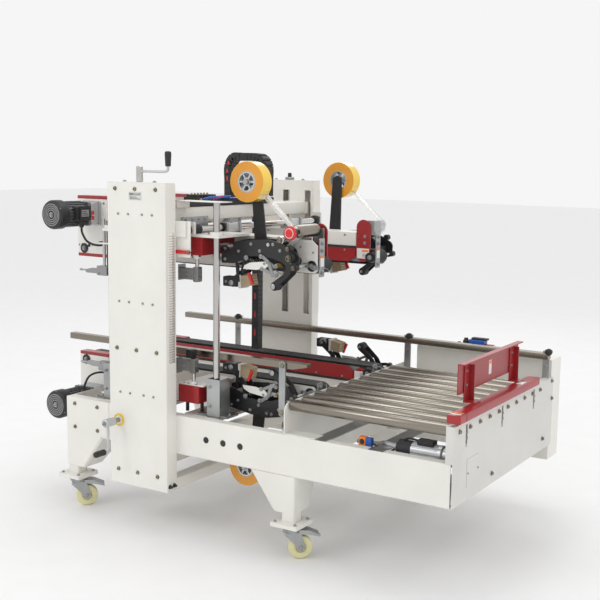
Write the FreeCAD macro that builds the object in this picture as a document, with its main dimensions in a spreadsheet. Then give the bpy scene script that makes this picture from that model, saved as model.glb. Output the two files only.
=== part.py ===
"""A four-edge carton sealer: a bed on castors, a lifting gantry between two columns, four belt units
with tape heads, and a roller table.

Stations x and y are measured from the datum, the front column's outer left edge, and heights from
the floor. The part's origin is on the floor under the middle of the machine. Lengths are in mm.
"""
import FreeCAD, Part
import os
import re
import Sketcher

doc = FreeCAD.newDocument("carton_sealer")
sizes = doc.addObject("Spreadsheet::Sheet", "sizes")

SIZES = {
    # where the datum stands from the origin
    "datum_x": -505,
    "datum_y": -504,
    # columns and the bar that joins their feet
    "column_width": 290,
    "column_depth": 58,
    "column_foot": 177,
    "column_top": 1363,
    "column_wall": 3,
    "slot_bottom": 750,
    "slot_top": 1318,
    "screw_slot_left": 124,
    "screw_slot_right": 159,
    "rod_slot_left": 243,
    "rod_slot_right": 275,
    "crossbar_width": 55,
    "crossbar_height": 45,
    # lifting screws and guide rods inside the columns
    "screw_x": 141,
    "screw_radius": 12,
    "guide_rod_x": 259,
    "guide_rod_radius": 10,
    "running_gap": 0.05,
    # bed
    "bed_left": -292,
    "bed_right": 1450,
    "bed_depth": 970,
    "bed_bottom": 320,
    "bed_top": 473,
    "bed_wall": 4,
    "bed_flange": 40,
    "member_width": 40,
    "member_height": 76,
    # legs and castors
    "leg_width": 196,
    "leg_bottom": 180,
    "leg_depth_top": 163,
    "leg_depth_foot": 109,
    "left_foot_width": 92,
    "right_foot_width": 97,
    "right_leg_left": 638,
    "leg_post": 56,
    "foot_plate_bottom": 131.5,
    "foot_plate_top": 147,
    "foot_plate_width": 116,
    "castor_trail": 34,
    "castor_turn": 45,
    "castor_top": 131,
    "wheel_radius": 45,
    "wheel_width": 32,
    "wheel_axle_radius": 5,
    # roller table
    "panel_wall": 4,
    "end_panel_top": 600,
    "inner_panel_top": 590,
    "inner_panel_left": 786,
    "roller_radius": 21,
    "roller_wall": 2,
    "roller_cap": 10,
    "roller_height": 577,
    "roller_first": 100,
    "roller_pitch": 85.5,
    "roller_end_gap": 3,
    "axle_radius": 6,
    "adjust_slot_bottom": 512,
    "adjust_slot_top": 590,
    "adjust_slot_width": 14,
    # height-adjustable guard with its stop plate
    "guard_bottom": 611,
    "guard_height": 29,
    "guard_width": 50,
    "guard_left": 1426,
    "guard_back": 810,
    "stop_front": 202,
    "stop_back": 759,
    "stop_bottom": 673,
    "stop_top": 782,
    "stop_face": 1396,
    "stop_wall": 4,
    "stop_lip": 24,
    "tab_width": 24,
    "tab_bottom": 524,
    "stud_radius": 5,
    # belt units: the near upper unit, mirrored for the other three
    "belt_low": 602,
    "belt_high": 1030,
    "lane_middle": 592.5,
    "unit_left": -466,
    "unit_right": 774,
    "unit_front": 315,
    "unit_width": 106,
    "unit_wall": 4,
    "unit_height": 131,
    "belt_proud": 6,
    "belt_height": 62,
    "belt_thick": 5,
    "belt_width": 80,
    "drive_box_right": -300,
    "drive_box_height": 258,
    "drive_box_depth": 40,
    "pulley_axle_radius": 12,
    "motor_x": -385,
    "motor_rise": 185,
    "gearhead_width": 104,
    "gearhead_length": 60,
    "motor_radius": 52,
    "fan_radius": 60,
    "fan_length": 50,
    "motor_front": 80,
    # cross shafts that the belt units ride on
    "shaft_left": -20,
    "shaft_right": 310,
    "shaft_rise": 156,
    "shaft_radius": 12.5,
    "hanger_width": 50,
    "carriage_front": 110,
    "arm_reach": 140,
    "arm_width": 100,
    "arm_height": 69,
    "carriage_plate": 10,
    # posts that tie the near upper unit to the near lower one
    "post_left": -108,
    "post_right": 424,
    "post_y": 135,
    "post_radius": 13,
    "post_top": 1293,
    "bracket_top": 621,
    # tape heads
    "head_front": 222,
    "head_width": 66,
    "head_wall": 5,
    "arm_pivot_rise": 55,
    "arm_pin_radius": 6,
    "arm_reach_down": 103,
    "applying_x": 700,
    "applying_back": 84,
    "wiping_x": 500,
    "wiping_back": 78,
    "arm_roller_radius": 17,
    "roll_x": 495,
    "roll_rise": 341,
    "roll_radius": 77,
    "roll_width": 60,
    "roll_axle_radius": 10,
    # gantry
    "beam_left": 160,
    "beam_width": 90,
    "beam_bottom": 1214,
    "beam_height": 55,
    "beam_wall": 4,
    # guide rails
    "rail_height": 25,
    "rail_depth": 35,
    "rail_post_width": 30,
    "far_rail_left": -409,
    "far_rail_front": 968,
    "far_rail_bottom": 679,
    "near_rail_left": -390,
    "near_rail_right": 805,
    "near_rail_front": 186,
    "near_rail_bottom": 687,
    "near_rail_depth": 30,
    # cranks, button and cabinet
    "crank_hub_radius": 15,
    "crank_arm_radius": 7,
    "crank_grip_radius": 13,
    "width_screw_x": 50,
    "width_screw_z": 434,
    "width_screw_radius": 10,
    "button_x": 708,
    "button_z": 1189,
    "button_radius": 27,
    "button_stem_radius": 11,
    "cabinet_left": 836,
    "cabinet_bottom": 250,
    "cabinet_top": 668,
    "cabinet_depth": 120,
}

for row, (alias, size) in enumerate(SIZES.items(), start=1):
    sizes.set(f"A{row}", alias)
    sizes.set(f"B{row}", str(size))
    sizes.setAlias(f"B{row}", alias)
doc.recompute()

# places that several pieces share, in the sheet's words
BED_FRONT = "column_depth"
BED_BACK = "(column_depth + bed_depth)"
MIDDLE_Y = "(column_depth + bed_depth / 2)"
MIDDLE_Z = "((belt_low + belt_high) / 2)"
UNIT_BACK = "(unit_front + unit_width)"
UNIT_TOP = "(belt_high + unit_height)"
HEAD_BACK = "(head_front + head_width)"
PIVOT_Z = "(belt_high + arm_pivot_rise)"
ARM_ROLLER_Z = f"({PIVOT_Z} - arm_reach_down)"
ROLL_Z = "(belt_high + roll_rise)"
SHAFT_Z = "(belt_high + shaft_rise)"

AXIS_TURNS = {
    "x": FreeCAD.Rotation(FreeCAD.Vector(0, 1, 0), 90),
    "y": FreeCAD.Rotation(FreeCAD.Vector(1, 0, 0), -90),
    "z": FreeCAD.Rotation(),
}

nodes = []


def on_sheet(formula):
    """A formula in the sheet's words, as an expression that any object can hold."""
    return re.sub(r"[a-z_]*[a-z]", lambda word: "sizes." + word.group(), str(formula))


def bind(item, **formulas):
    for size, formula in formulas.items():
        item.setExpression(size, on_sheet(formula))


def place(item, x, y, z, turn=None, local=False):
    """Bind an object's place to its stations, or to the part's own axes if it is local."""
    if turn:
        item.Placement = FreeCAD.Placement(FreeCAD.Vector(), turn)
    start_x, start_y = ("0", "0") if local else ("datum_x", "datum_y")
    item.setExpression("Placement.Base.x", on_sheet(f"{start_x} + {x}"))
    item.setExpression("Placement.Base.y", on_sheet(f"{start_y} + {y}"))
    item.setExpression("Placement.Base.z", on_sheet(z))
    return item


def block(x, y, z, local=False):
    """A box between two stations on each axis."""
    item = doc.addObject("Part::Box", "block")
    bind(item, Length=f"{x[1]} - ({x[0]})", Width=f"{y[1]} - ({y[0]})", Height=f"{z[1]} - ({z[0]})")
    return place(item, x[0], y[0], z[0], local=local)


def rod(axis, centre, span, radius, local=False):
    """A round bar along an axis, with its centre's two other stations in X, Y, Z order."""
    item = doc.addObject("Part::Cylinder", "rod")
    bind(item, Radius=radius, Height=f"{span[1]} - ({span[0]})")
    start = list(centre)
    start.insert("xyz".index(axis), span[0])
    return place(item, *start, turn=AXIS_TURNS[axis], local=local)


def ball(centre, radius):
    item = doc.addObject("Part::Sphere", "ball")
    bind(item, Radius=radius)
    return place(item, *centre)


def join(*items):
    """One object from several: solids that touch become one, and the rest stay separate."""
    item = doc.addObject("Part::MultiFuse", "join")
    item.Shapes = list(items)
    item.Refine = True
    return item


def cut(base, *tools):
    item = doc.addObject("Part::Cut", "cut")
    item.Base = base
    item.Tool = join(*tools) if len(tools) > 1 else tools[0]
    return item


def mirror(source, axis, station):
    """A mirrored copy across the plane at a station on the axis."""
    item = doc.addObject("Part::Mirroring", "mirror")
    item.Source = source
    item.Normal = FreeCAD.Vector(*[1 if name == axis else 0 for name in "xyz"])
    start = {"x": "datum_x + ", "y": "datum_y + ", "z": ""}[axis]
    item.setExpression(f"Base.{axis}", on_sheet(start + station))
    return item


def plate(outline, front, thickness):
    """A flat plate across Y, cut to an outline of (x, z) corners, as a sketched and padded body."""
    body = doc.addObject("PartDesign::Body", "plate")
    sketch = body.newObject("Sketcher::SketchObject", "outline")
    plane = [feature for feature in body.Origin.OriginFeatures if feature.Role == "XZ_Plane"][0]
    sketch.AttachmentSupport = [(plane, "")]
    sketch.MapMode = "FlatFace"
    corners = [FreeCAD.Vector(i, i * i, 0) for i in range(len(outline))]
    for i, corner in enumerate(corners):
        sketch.addGeometry(Part.LineSegment(corner, corners[(i + 1) % len(corners)]))
    for i, (x, z) in enumerate(outline):
        sketch.addConstraint(Sketcher.Constraint("Coincident", i, 2, (i + 1) % len(outline), 1))
        across = sketch.addConstraint(Sketcher.Constraint("DistanceX", -1, 1, i, 1, corners[i].x))
        sketch.setExpression(f"Constraints[{across}]", on_sheet(x))
        up = sketch.addConstraint(Sketcher.Constraint("DistanceY", -1, 1, i, 1, corners[i].y))
        sketch.setExpression(f"Constraints[{up}]", on_sheet(z))
    pad = body.newObject("PartDesign::Pad", "pad")
    pad.Profile = sketch
    pad.Reversed = True
    bind(pad, Length=thickness)
    return place(body, 0, front, 0)


def node(label, item):
    item.Label = label
    nodes.append(item)
    return item


def grid(xs, zs, make):
    """Joined copies of what make(x, z) returns, at every pair of stations."""
    return join(*[make(x, z) for z in zs for x in xs])


# ---- columns --------------------------------------------------------------------------------

def column_slots(y):
    """The two upright openings through a column's side, for the screw's and the rod's nuts."""
    return [
        block((f"{name}_slot_left", f"{name}_slot_right"), y, ("slot_bottom", "slot_top"))
        for name in ("screw", "rod")
    ]


def column():
    """The front column: a sheet-metal box with two slots in its inner side and a guide rod."""
    shell = block((0, "column_width"), (0, "column_depth"), ("column_foot", "column_top"))
    hollow = block(
        ("column_wall", "column_width - column_wall"),
        ("column_wall", "column_depth - column_wall"),
        ("column_foot + column_wall", "column_top - column_wall"),
    )
    slots = column_slots(("column_depth - 2 * column_wall", "column_depth + column_wall"))
    screw_hole = rod("z", ("screw_x", "column_depth / 2"),
                     ("column_top - 2 * column_wall", "column_top + column_wall"),
                     "screw_radius + running_gap")
    guide = rod("z", ("guide_rod_x", "column_depth / 2"), ("column_foot", "column_top"),
                "guide_rod_radius")
    return join(cut(shell, hollow, screw_hole, *slots), guide)


def width_screw_hole():
    return rod("y", ("width_screw_x", "width_screw_z"), (-5, "column_depth + bed_wall + 5"),
               "width_screw_radius + running_gap")


def portal_frame():
    """Both columns, the rear one slotted right through, and the bar between their feet."""
    front = column()
    windows = column_slots((f"2 * {MIDDLE_Y} - 2 * column_wall", f"2 * {MIDDLE_Y} + column_wall"))
    rear = cut(mirror(front, "y", MIDDLE_Y), *windows)
    crossbar = block(("column_width - crossbar_width", "column_width"), (BED_FRONT, BED_BACK),
                     ("column_foot", "column_foot + crossbar_height"))
    return cut(join(front, rear, crossbar), width_screw_hole())


def lift_screw(top):
    return rod("z", ("screw_x", "column_depth / 2"), ("column_foot + column_wall + 2", top),
               "screw_radius")


def height_crank():
    """The front lifting screw with its hub, bent arm and upright grip."""
    arm_z = "column_top + 44"
    grip_x = "screw_x + 140"
    across = "column_depth / 2"
    return join(
        lift_screw("column_top + 5"),
        rod("z", ("screw_x", across), ("column_top + 1", "column_top + 52"), "crank_hub_radius"),
        rod("x", (across, arm_z), ("screw_x", grip_x), "crank_arm_radius"),
        ball((grip_x, across, arm_z), "crank_arm_radius"),
        rod("z", (grip_x, across), (arm_z, "column_top + 66"), "crank_arm_radius"),
        rod("z", (grip_x, across), ("column_top + 66", "column_top + 117"), "crank_grip_radius"),
    )


def width_crank():
    """The width screw with its hub, hanging arm and forward grip."""
    arm_y = -48
    grip_z = "width_screw_z - 114"
    return join(
        rod("y", ("width_screw_x", "width_screw_z"), (-20, 660), "width_screw_radius"),
        rod("y", ("width_screw_x", "width_screw_z"), (-62, -2), "crank_hub_radius"),
        rod("z", ("width_screw_x", arm_y), (grip_z, "width_screw_z"), "crank_arm_radius"),
        ball(("width_screw_x", arm_y, grip_z), "crank_arm_radius"),
        rod("y", ("width_screw_x", grip_z), (-72, arm_y), "crank_arm_radius"),
        rod("y", ("width_screw_x", grip_z), (-140, -72), "crank_grip_radius"),
    )


# ---- bed, legs and castors -------------------------------------------------------------------

def side_channel():
    """The bed's front side: a sheet-metal channel that opens inwards."""
    inner_edge = f"{BED_FRONT} + bed_flange"
    outer = block(("bed_left", "bed_right - panel_wall"), (BED_FRONT, inner_edge), ("bed_bottom", "bed_top"))
    hollow = block(("bed_left - 1", "bed_right"), (f"{BED_FRONT} + bed_wall", f"{inner_edge} + 1"),
                   ("bed_bottom + bed_wall", "bed_top - bed_wall"))
    return cut(outer, hollow)


def cross_member(left):
    """A channel across the bed that opens downwards."""
    inside = (f"{BED_FRONT} + bed_wall", f"{BED_BACK} - bed_wall")
    outer = block((left, f"{left} + member_width"), inside,
                  ("bed_bottom + bed_wall", "bed_bottom + member_height"))
    hollow = block((f"{left} + bed_wall", f"{left} + member_width - bed_wall"), inside,
                   ("bed_bottom", "bed_bottom + member_height - bed_wall"))
    return cut(outer, hollow)


def bed_frame():
    """Side channels, cross members and the two cross shafts of the lower belt units."""
    front = side_channel()
    inside = (f"{BED_FRONT} + bed_wall", f"{BED_BACK} - bed_wall")
    members = [
        cross_member(left)
        for left in ("bed_left", "shaft_right + 20", "inner_panel_left - 110", "bed_right - 60")
    ]
    shafts = [
        rod("y", (x, f"2 * {MIDDLE_Z} - {SHAFT_Z}"), inside, "shaft_radius")
        for x in ("shaft_left", "shaft_right")
    ]
    frame = join(front, mirror(front, "y", MIDDLE_Y), *members, *shafts)
    return cut(frame, width_screw_hole())


def leg(top_left, foot_left, foot_width):
    """A tapered hollow leg under the bed's front corner, with a post and a square foot plate."""
    def taper(inset, name):
        item = doc.addObject("Part::Wedge", name)
        bind(item, Xmin=inset, Xmax=f"leg_width - {inset}", Zmin=inset, Zmax="leg_depth_top",
             X2min=inset, X2max=f"leg_width - {inset}", Z2min=inset, Z2max="leg_depth_top")
        return item

    shell = taper("0", "leg_shell")
    hollow = taper("bed_wall", "leg_hollow")
    for item, inset in ((shell, "0"), (hollow, "bed_wall")):
        bind(item, Xmin=f"{foot_left} + {inset}", Xmax=f"{foot_left} + {foot_width} - {inset}",
             Zmin=f"0 - leg_depth_foot + {inset}", Zmax=f"0 - {inset}", Ymin="leg_bottom + " + inset,
             X2min=f"{top_left} + {inset}", X2max=f"{top_left} + leg_width - {inset}",
             Z2min=f"0 - leg_depth_top + {inset}", Z2max=f"0 - {inset}", Ymax="bed_bottom")
        place(item, 0, BED_FRONT, 0, turn=FreeCAD.Rotation(FreeCAD.Vector(1, 0, 0), 90))
    return cut(shell, hollow)


def foot(x, y):
    half = "foot_plate_width / 2"
    return join(
        block((f"{x} - leg_post / 2", f"{x} + leg_post / 2"), (f"{y} - leg_post / 2", f"{y} + leg_post / 2"),
              ("foot_plate_top", "leg_bottom")),
        block((f"{x} - {half}", f"{x} + {half}"), (f"{y} - {half}", f"{y} + {half}"),
              ("foot_plate_bottom", "foot_plate_top")),
    )


LEFT_FOOT = "(bed_left + leg_post / 2)"
RIGHT_FOOT = "(right_leg_left + leg_width - leg_post / 2)"
FRONT_FOOT = "(column_depth + leg_post / 2)"
REAR_FOOT = f"(2 * {MIDDLE_Y} - {FRONT_FOOT})"


def legs():
    left = leg("bed_left", "bed_left", "left_foot_width")
    right = leg("right_leg_left", "right_leg_left + leg_width - right_foot_width", "right_foot_width")
    gusset = plate(
        [("bed_left", "leg_bottom"), ("bed_left + left_foot_width", "leg_bottom"),
         ("bed_left + leg_width", "bed_bottom"), ("bed_left + leg_width", "bed_top"),
         ("bed_left", "bed_top")],
        f"{BED_FRONT} - bed_wall", "bed_wall")
    front = join(join(left, gusset, foot(LEFT_FOOT, FRONT_FOOT)), join(right, foot(RIGHT_FOOT, FRONT_FOOT)))
    return join(front, mirror(front, "y", MIDDLE_Y))


def castor_fork():
    """The swivelling fork with its race, axle and pedal; the wheel trails towards +X."""
    side = "wheel_width / 2 + 3"
    centre = ("castor_trail", "wheel_radius")
    cheeks = [
        join(block(("0 - 20", "castor_trail + 12"), (y, f"{y} + 3"), ("wheel_radius + 10", "castor_top - 12"),
                   local=True),
             rod("y", centre, (y, f"{y} + 3"), 14, local=True))
        for y in (side, f"0 - ({side}) - 3")
    ]
    return join(
        rod("z", (0, 0), ("castor_top - 12", "castor_top"), 32, local=True),
        block(("0 - 30", "castor_trail + 12"), (f"0 - ({side}) - 3", f"{side} + 3"),
              ("castor_top - 16", "castor_top - 12"), local=True),
        block(("castor_trail + 10", "castor_trail + 62"), (-18, 18), ("castor_top - 20", "castor_top - 15"),
              local=True),
        rod("y", centre, (f"0 - ({side}) - 3", f"{side} + 3"), "wheel_axle_radius", local=True),
        *cheeks,
    )


def castor_wheel():
    half = "wheel_width / 2"
    centre = ("castor_trail", "wheel_radius")
    return cut(
        rod("y", centre, (f"0 - {half}", half), "wheel_radius", local=True),
        rod("y", centre, (f"0 - {half} - 1", f"{half} + 1"), "wheel_axle_radius + running_gap", local=True),
    )


# ---- roller table ----------------------------------------------------------------------------

ROLLER_COUNT = 10
GUARD_SLOTS = (160, 480, 805)
STOP_POSTS = (270, 690)


def roller_y(index):
    return f"(roller_first + {index} * roller_pitch)"


def table_frame():
    """The end panel and the inner panel, with the fixed axles of the rollers between them."""
    end = block(("bed_right - panel_wall", "bed_right"), (BED_FRONT, BED_BACK),
                ("bed_bottom", "end_panel_top"))
    inner_top = block(("inner_panel_left", "inner_panel_left + panel_wall"), (BED_FRONT, BED_BACK),
                      ("bed_top", "inner_panel_top"))
    inner_web = block(("inner_panel_left", "inner_panel_left + panel_wall"),
                      (f"{BED_FRONT} + bed_flange + 2", f"{BED_BACK} - bed_flange - 2"),
                      ("bed_bottom", "bed_top"))
    slots = [
        block(("bed_right - 2 * panel_wall", "bed_right + panel_wall"),
              (f"{y} - adjust_slot_width / 2", f"{y} + adjust_slot_width / 2"),
              ("adjust_slot_bottom", "adjust_slot_top"))
        for y in GUARD_SLOTS
    ]
    axles = [
        rod("x", (roller_y(i), "roller_height"), ("inner_panel_left", "bed_right + 6"), "axle_radius")
        for i in range(ROLLER_COUNT)
    ]
    return join(cut(end, *slots), inner_top, inner_web, *axles)


def roller(index):
    """A tube roller with bored end caps, on its fixed axle."""
    centre = (roller_y(index), "roller_height")
    left = "inner_panel_left + panel_wall + roller_end_gap"
    right = "bed_right - panel_wall - roller_end_gap"
    tube = rod("x", centre, (left, right), "roller_radius")
    inside = rod("x", centre, (f"{left} + roller_cap", f"{right} - roller_cap"),
                 "roller_radius - roller_wall")
    bore = rod("x", centre, (f"{left} - 1", f"{right} + 1"), "axle_radius + running_gap")
    return cut(tube, inside, bore)


def table_guard():
    """The red guard tube with its slotted tabs, and the stop plate on two posts."""
    tube = block(("guard_left", "guard_left + guard_width"), (BED_FRONT, "guard_back"),
                 ("guard_bottom", "guard_bottom + guard_height"))
    tabs = [
        join(
            block(("bed_right + 0.5", "bed_right + 4.5"), (f"{y} - tab_width / 2", f"{y} + tab_width / 2"),
                  ("tab_bottom", "guard_bottom")),
            *[rod("x", (y, f"tab_bottom + {rise}"), ("bed_right - 6", "bed_right + 10"), "stud_radius")
              for rise in (19, 39)],
        )
        for y in GUARD_SLOTS
    ]
    posts = [
        join(
            block(("stop_face + stop_wall", "stop_face + 14"), (f"{y} - 15", f"{y} + 15"),
                  ("guard_bottom", "stop_bottom + 30")),
            block(("stop_face + stop_wall", "guard_left"), (f"{y} - 15", f"{y} + 15"),
                  ("guard_bottom", "guard_bottom + 12")),
        )
        for y in STOP_POSTS
    ]
    width = ("stop_front", "stop_back")
    stop = block(("stop_face", "stop_face + stop_wall"), width, ("stop_bottom", "stop_top"))
    lip = block(("stop_face", "stop_face + stop_lip"), width, ("stop_top - stop_wall", "stop_top"))
    return join(tube, *tabs, *posts, stop, lip)


# ---- belt units ------------------------------------------------------------------------------

def stadium(inset, y):
    """A long rounded bar around the two belt pulleys, smaller by the inset on every side."""
    radius = f"(belt_height / 2 - ({inset}))"
    left = "(unit_left + belt_height / 2 + 6)"
    right = "(unit_right - belt_height / 2 - 6)"
    height = "(belt_high + belt_height / 2)"
    return join(
        block((left, right), y, (f"{height} - {radius}", f"{height} + {radius}")),
        *[rod("y", (x, height), y, radius) for x in (left, right)],
    )


BELT_FRONT = "(unit_front + unit_width / 2 - belt_width / 2)"
BELT_BACK = "(unit_front + unit_width / 2 + belt_width / 2)"


def drive_belt():
    return cut(stadium("0", (BELT_FRONT, BELT_BACK)),
               stadium("belt_thick", (f"{BELT_FRONT} - 1", f"{BELT_BACK} + 1")))


def conveyor():
    """A belt unit's side plates and cover plate, pulleys, slider plate and tall drive box."""
    low = "belt_high + belt_proud"
    pulley_z = "(belt_high + belt_height / 2)"
    pulley_xs = ("unit_left + belt_height / 2 + 6", "unit_right - belt_height / 2 - 6")
    outer = block(("unit_left", "unit_right"), ("unit_front", "unit_front + unit_wall"), (low, UNIT_TOP))
    inner = block(("unit_left", "unit_right - 40"), (f"{UNIT_BACK} - unit_wall", UNIT_BACK), (low, UNIT_TOP))
    across = ("unit_front", UNIT_BACK)
    cover = block(("unit_left", "unit_right - 80"), across, (f"{UNIT_TOP} - unit_wall", UNIT_TOP))
    web = block(("unit_left", "unit_right - 80"), across,
                ("belt_high + belt_height + 4", "belt_high + belt_height + 12"))
    slider = block((pulley_xs[0], pulley_xs[1]), (BELT_FRONT, BELT_BACK),
                   ("belt_high + belt_thick + 0.3", "belt_high + belt_thick + 12"))
    pulleys = [
        rod("y", (x, pulley_z), (BELT_FRONT, BELT_BACK), "belt_height / 2 - belt_thick - 0.3")
        for x in pulley_xs
    ]
    axles = [
        rod("y", (x, pulley_z), across, "pulley_axle_radius")
        for x in pulley_xs + ("(unit_left + unit_right) / 2",)
    ]
    stays = [
        block((x, f"{x} + 10"), across, ("belt_high + belt_thick + 6", "belt_high + belt_height - 8"))
        for x in ("unit_left + 180", "unit_right - 180")
    ]
    drive_box = block(("unit_left", "drive_box_right"), ("unit_front", "unit_front + drive_box_depth"),
                      (UNIT_TOP, "belt_high + drive_box_height"))
    return join(outer, inner, cover, web, slider, drive_box, *pulleys, *axles, *stays)


def gearmotor():
    """A square gearhead on the drive box, with a round motor, fan cover and terminal box."""
    centre = ("motor_x", "belt_high + motor_rise")
    half = "gearhead_width / 2"
    head_y = "(unit_front - gearhead_length)"
    fan_y = "(motor_front + fan_length)"
    gearhead = block((f"motor_x - {half}", f"motor_x + {half}"), (head_y, "unit_front"),
                     (f"belt_high + motor_rise - {half}", f"belt_high + motor_rise + {half}"))
    terminal_box = block(("motor_x + motor_radius - 12", "motor_x + motor_radius + 28"),
                         (f"{fan_y} + 20", f"{fan_y} + 105"),
                         ("belt_high + motor_rise - 45", "belt_high + motor_rise + 40"))
    gland = rod("z", ("motor_x + motor_radius + 10", f"{fan_y} + 62"),
                ("belt_high + motor_rise - 62", "belt_high + motor_rise - 45"), 11)
    return join(
        gearhead,
        rod("y", centre, (fan_y, head_y), "motor_radius"),
        rod("y", centre, ("motor_front", fan_y), "fan_radius"),
        terminal_box,
        gland,
    )


def hangers():
    """Two bearing blocks on the cross shafts, with a plate down to the belt unit."""
    parts = []
    for x in ("shaft_left", "shaft_right"):
        parts.append(block((f"{x} - hanger_width / 2", f"{x} + hanger_width / 2"),
                           ("unit_front + 5", f"{UNIT_BACK} - 5"),
                           (UNIT_TOP, f"{SHAFT_Z} + shaft_radius + 8")))
    bores = [
        rod("y", (x, SHAFT_Z), ("unit_front", UNIT_BACK), "shaft_radius + running_gap")
        for x in ("shaft_left", "shaft_right")
    ]
    return cut(join(*parts), *bores)


def carriage_arms():
    """The plates and box arms that carry a near unit from its posts to its bearing blocks."""
    top = f"{UNIT_TOP} + carriage_plate"
    arms = []
    for span, arm in (
        (("post_left - 26", "post_left + arm_reach"), "post_left + arm_reach - arm_width"),
        (("post_right - arm_reach", "post_right + 26"), "post_right - arm_reach"),
    ):
        arms.append(block(span, ("carriage_front", UNIT_BACK), (UNIT_TOP, top)))
        arms.append(block((arm, f"{arm} + arm_width"), ("carriage_front", "unit_front + unit_wall"),
                          (f"{UNIT_TOP} - arm_height", UNIT_TOP)))
    hanger_room = [
        block((f"{x} - hanger_width / 2", f"{x} + hanger_width / 2"),
              ("unit_front + 5", f"{UNIT_BACK} - 5"), (f"{UNIT_TOP} - 1", f"{top} + 1"))
        for x in ("shaft_left", "shaft_right")
    ]
    return cut(join(*arms), *hanger_room)


# ---- tape heads ------------------------------------------------------------------------------

def head_frame():
    """Two side plates with spacers and arm pins, and the arm that carries the tape roll."""
    outline = [
        (390, "belt_high + 32"), (390, "belt_high + 95"), (445, "belt_high + 120"),
        (600, "belt_high + 127"), (700, "belt_high + 104"), (738, "belt_high + 72"),
        (738, "belt_high + 20"), (690, "belt_high + 8"), (560, "belt_high + 8"), (470, "belt_high + 16"),
    ]
    plates = [plate(outline, y, "head_wall") for y in ("head_front", f"{HEAD_BACK} - head_wall")]
    roll_arm = plate(
        [("roll_x - 20", f"{ROLL_Z} + 16"), ("roll_x + 20", f"{ROLL_Z} + 16"),
         ("roll_x + 36", "belt_high + 112"), ("roll_x - 20", "belt_high + 112")],
        HEAD_BACK, 6)
    bars = [
        rod("y", centre, ("head_front", HEAD_BACK), 7)
        for centre in ((425, "belt_high + 92"), (600, "belt_high + 110"), (724, "belt_high + 34"))
    ]
    pins = [
        rod("y", (x, PIVOT_Z), ("head_front", HEAD_BACK), "arm_pin_radius")
        for x in ("applying_x", "wiping_x")
    ]
    stays = [
        rod("y", centre, (HEAD_BACK, "unit_front"), 8)
        for centre in ((425, "belt_high + 92"), (724, "belt_high + 34"))
    ]
    roll_axle = rod("y", ("roll_x", ROLL_Z), ("head_front", f"{HEAD_BACK} + 6"), "roll_axle_radius")
    return join(*plates, roll_arm, *bars, *pins, *stays, roll_axle)


def swing_arm(pivot_x, back):
    """A sprung arm with its hub on a pin of the head and a roller at its lower end."""
    roller_x = f"({pivot_x} - {back})"
    outline = [
        (f"{pivot_x} - 10", f"{PIVOT_Z} + 4"), (f"{pivot_x} + 10", f"{PIVOT_Z} - 4"),
        (f"{roller_x} + 9", f"{ARM_ROLLER_Z} - 4"), (f"{roller_x} - 9", f"{ARM_ROLLER_Z} + 4"),
    ]
    first = "(head_front + head_wall + 4)"
    last = f"({HEAD_BACK} - head_wall - 4)"
    bars = [plate(outline, y, 4) for y in (first, f"{last} - 4")]
    solid = join(
        *bars,
        rod("y", (pivot_x, PIVOT_Z), (first, last), 13),
        rod("y", (roller_x, ARM_ROLLER_Z), (first, last), 7),
        rod("y", (roller_x, ARM_ROLLER_Z), (f"{first} + 6", f"{last} - 6"), "arm_roller_radius"),
    )
    bore = rod("y", (pivot_x, PIVOT_Z), (f"{first} - 1", f"{last} + 1"), "arm_pin_radius + running_gap")
    return cut(solid, bore)


def tape_roll():
    across = ("head_front + 3", "head_front + 3 + roll_width")
    return cut(rod("y", ("roll_x", ROLL_Z), across, "roll_radius"),
               rod("y", ("roll_x", ROLL_Z), ("head_front", HEAD_BACK), "roll_axle_radius + running_gap"))


# ---- gantry, posts and rails -----------------------------------------------------------------

def gantry_carriage():
    """The front slide plate, with its nut and bush blocks inside the column."""
    slide_gap = 0.5
    face = f"(column_depth + {slide_gap})"
    plate_back = f"({face} + 9)"
    tie = block(("shaft_left - 25", "shaft_right + 25"), (face, plate_back),
                ("beam_bottom", "beam_bottom + 52"))
    parts = [tie]
    for x in ("shaft_left", "shaft_right"):
        parts.append(block((f"{x} - 25", f"{x} + 25"), (face, plate_back),
                           (f"{SHAFT_Z} - 22", "beam_bottom")))
    for x in ("screw_x", "guide_rod_x"):
        parts.append(block((f"{x} - 12", f"{x} + 12"), ("column_depth / 2", face),
                           ("beam_bottom - 15", "beam_bottom + 35")))
        parts.append(block((f"{x} - 22", f"{x} + 22"), ("column_wall + 3", "column_depth - column_wall - 3"),
                           ("beam_bottom - 20", "beam_bottom + 40")))
    bores = [
        rod("z", (x, "column_depth / 2"), ("beam_bottom - 30", "beam_bottom + 50"), f"{radius} + running_gap")
        for x, radius in (("screw_x", "screw_radius"), ("guide_rod_x", "guide_rod_radius"))
    ]
    return cut(join(*parts), *bores)


def gantry_beam():
    """The crossbeam tube, both slide plates and the two cross shafts."""
    front = gantry_carriage()
    ends = ("column_depth + 9", f"{BED_BACK} - 9")
    tube = cut(
        block(("beam_left", "beam_left + beam_width"), ends, ("beam_bottom", "beam_bottom + beam_height")),
        block(("beam_left + beam_wall", "beam_left + beam_width - beam_wall"), ends,
              ("beam_bottom + beam_wall", "beam_bottom + beam_height - beam_wall")),
    )
    shafts = [rod("y", (x, SHAFT_Z), ends, "shaft_radius") for x in ("shaft_left", "shaft_right")]
    return join(front, mirror(front, "y", MIDDLE_Y), tube, *shafts)


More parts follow.
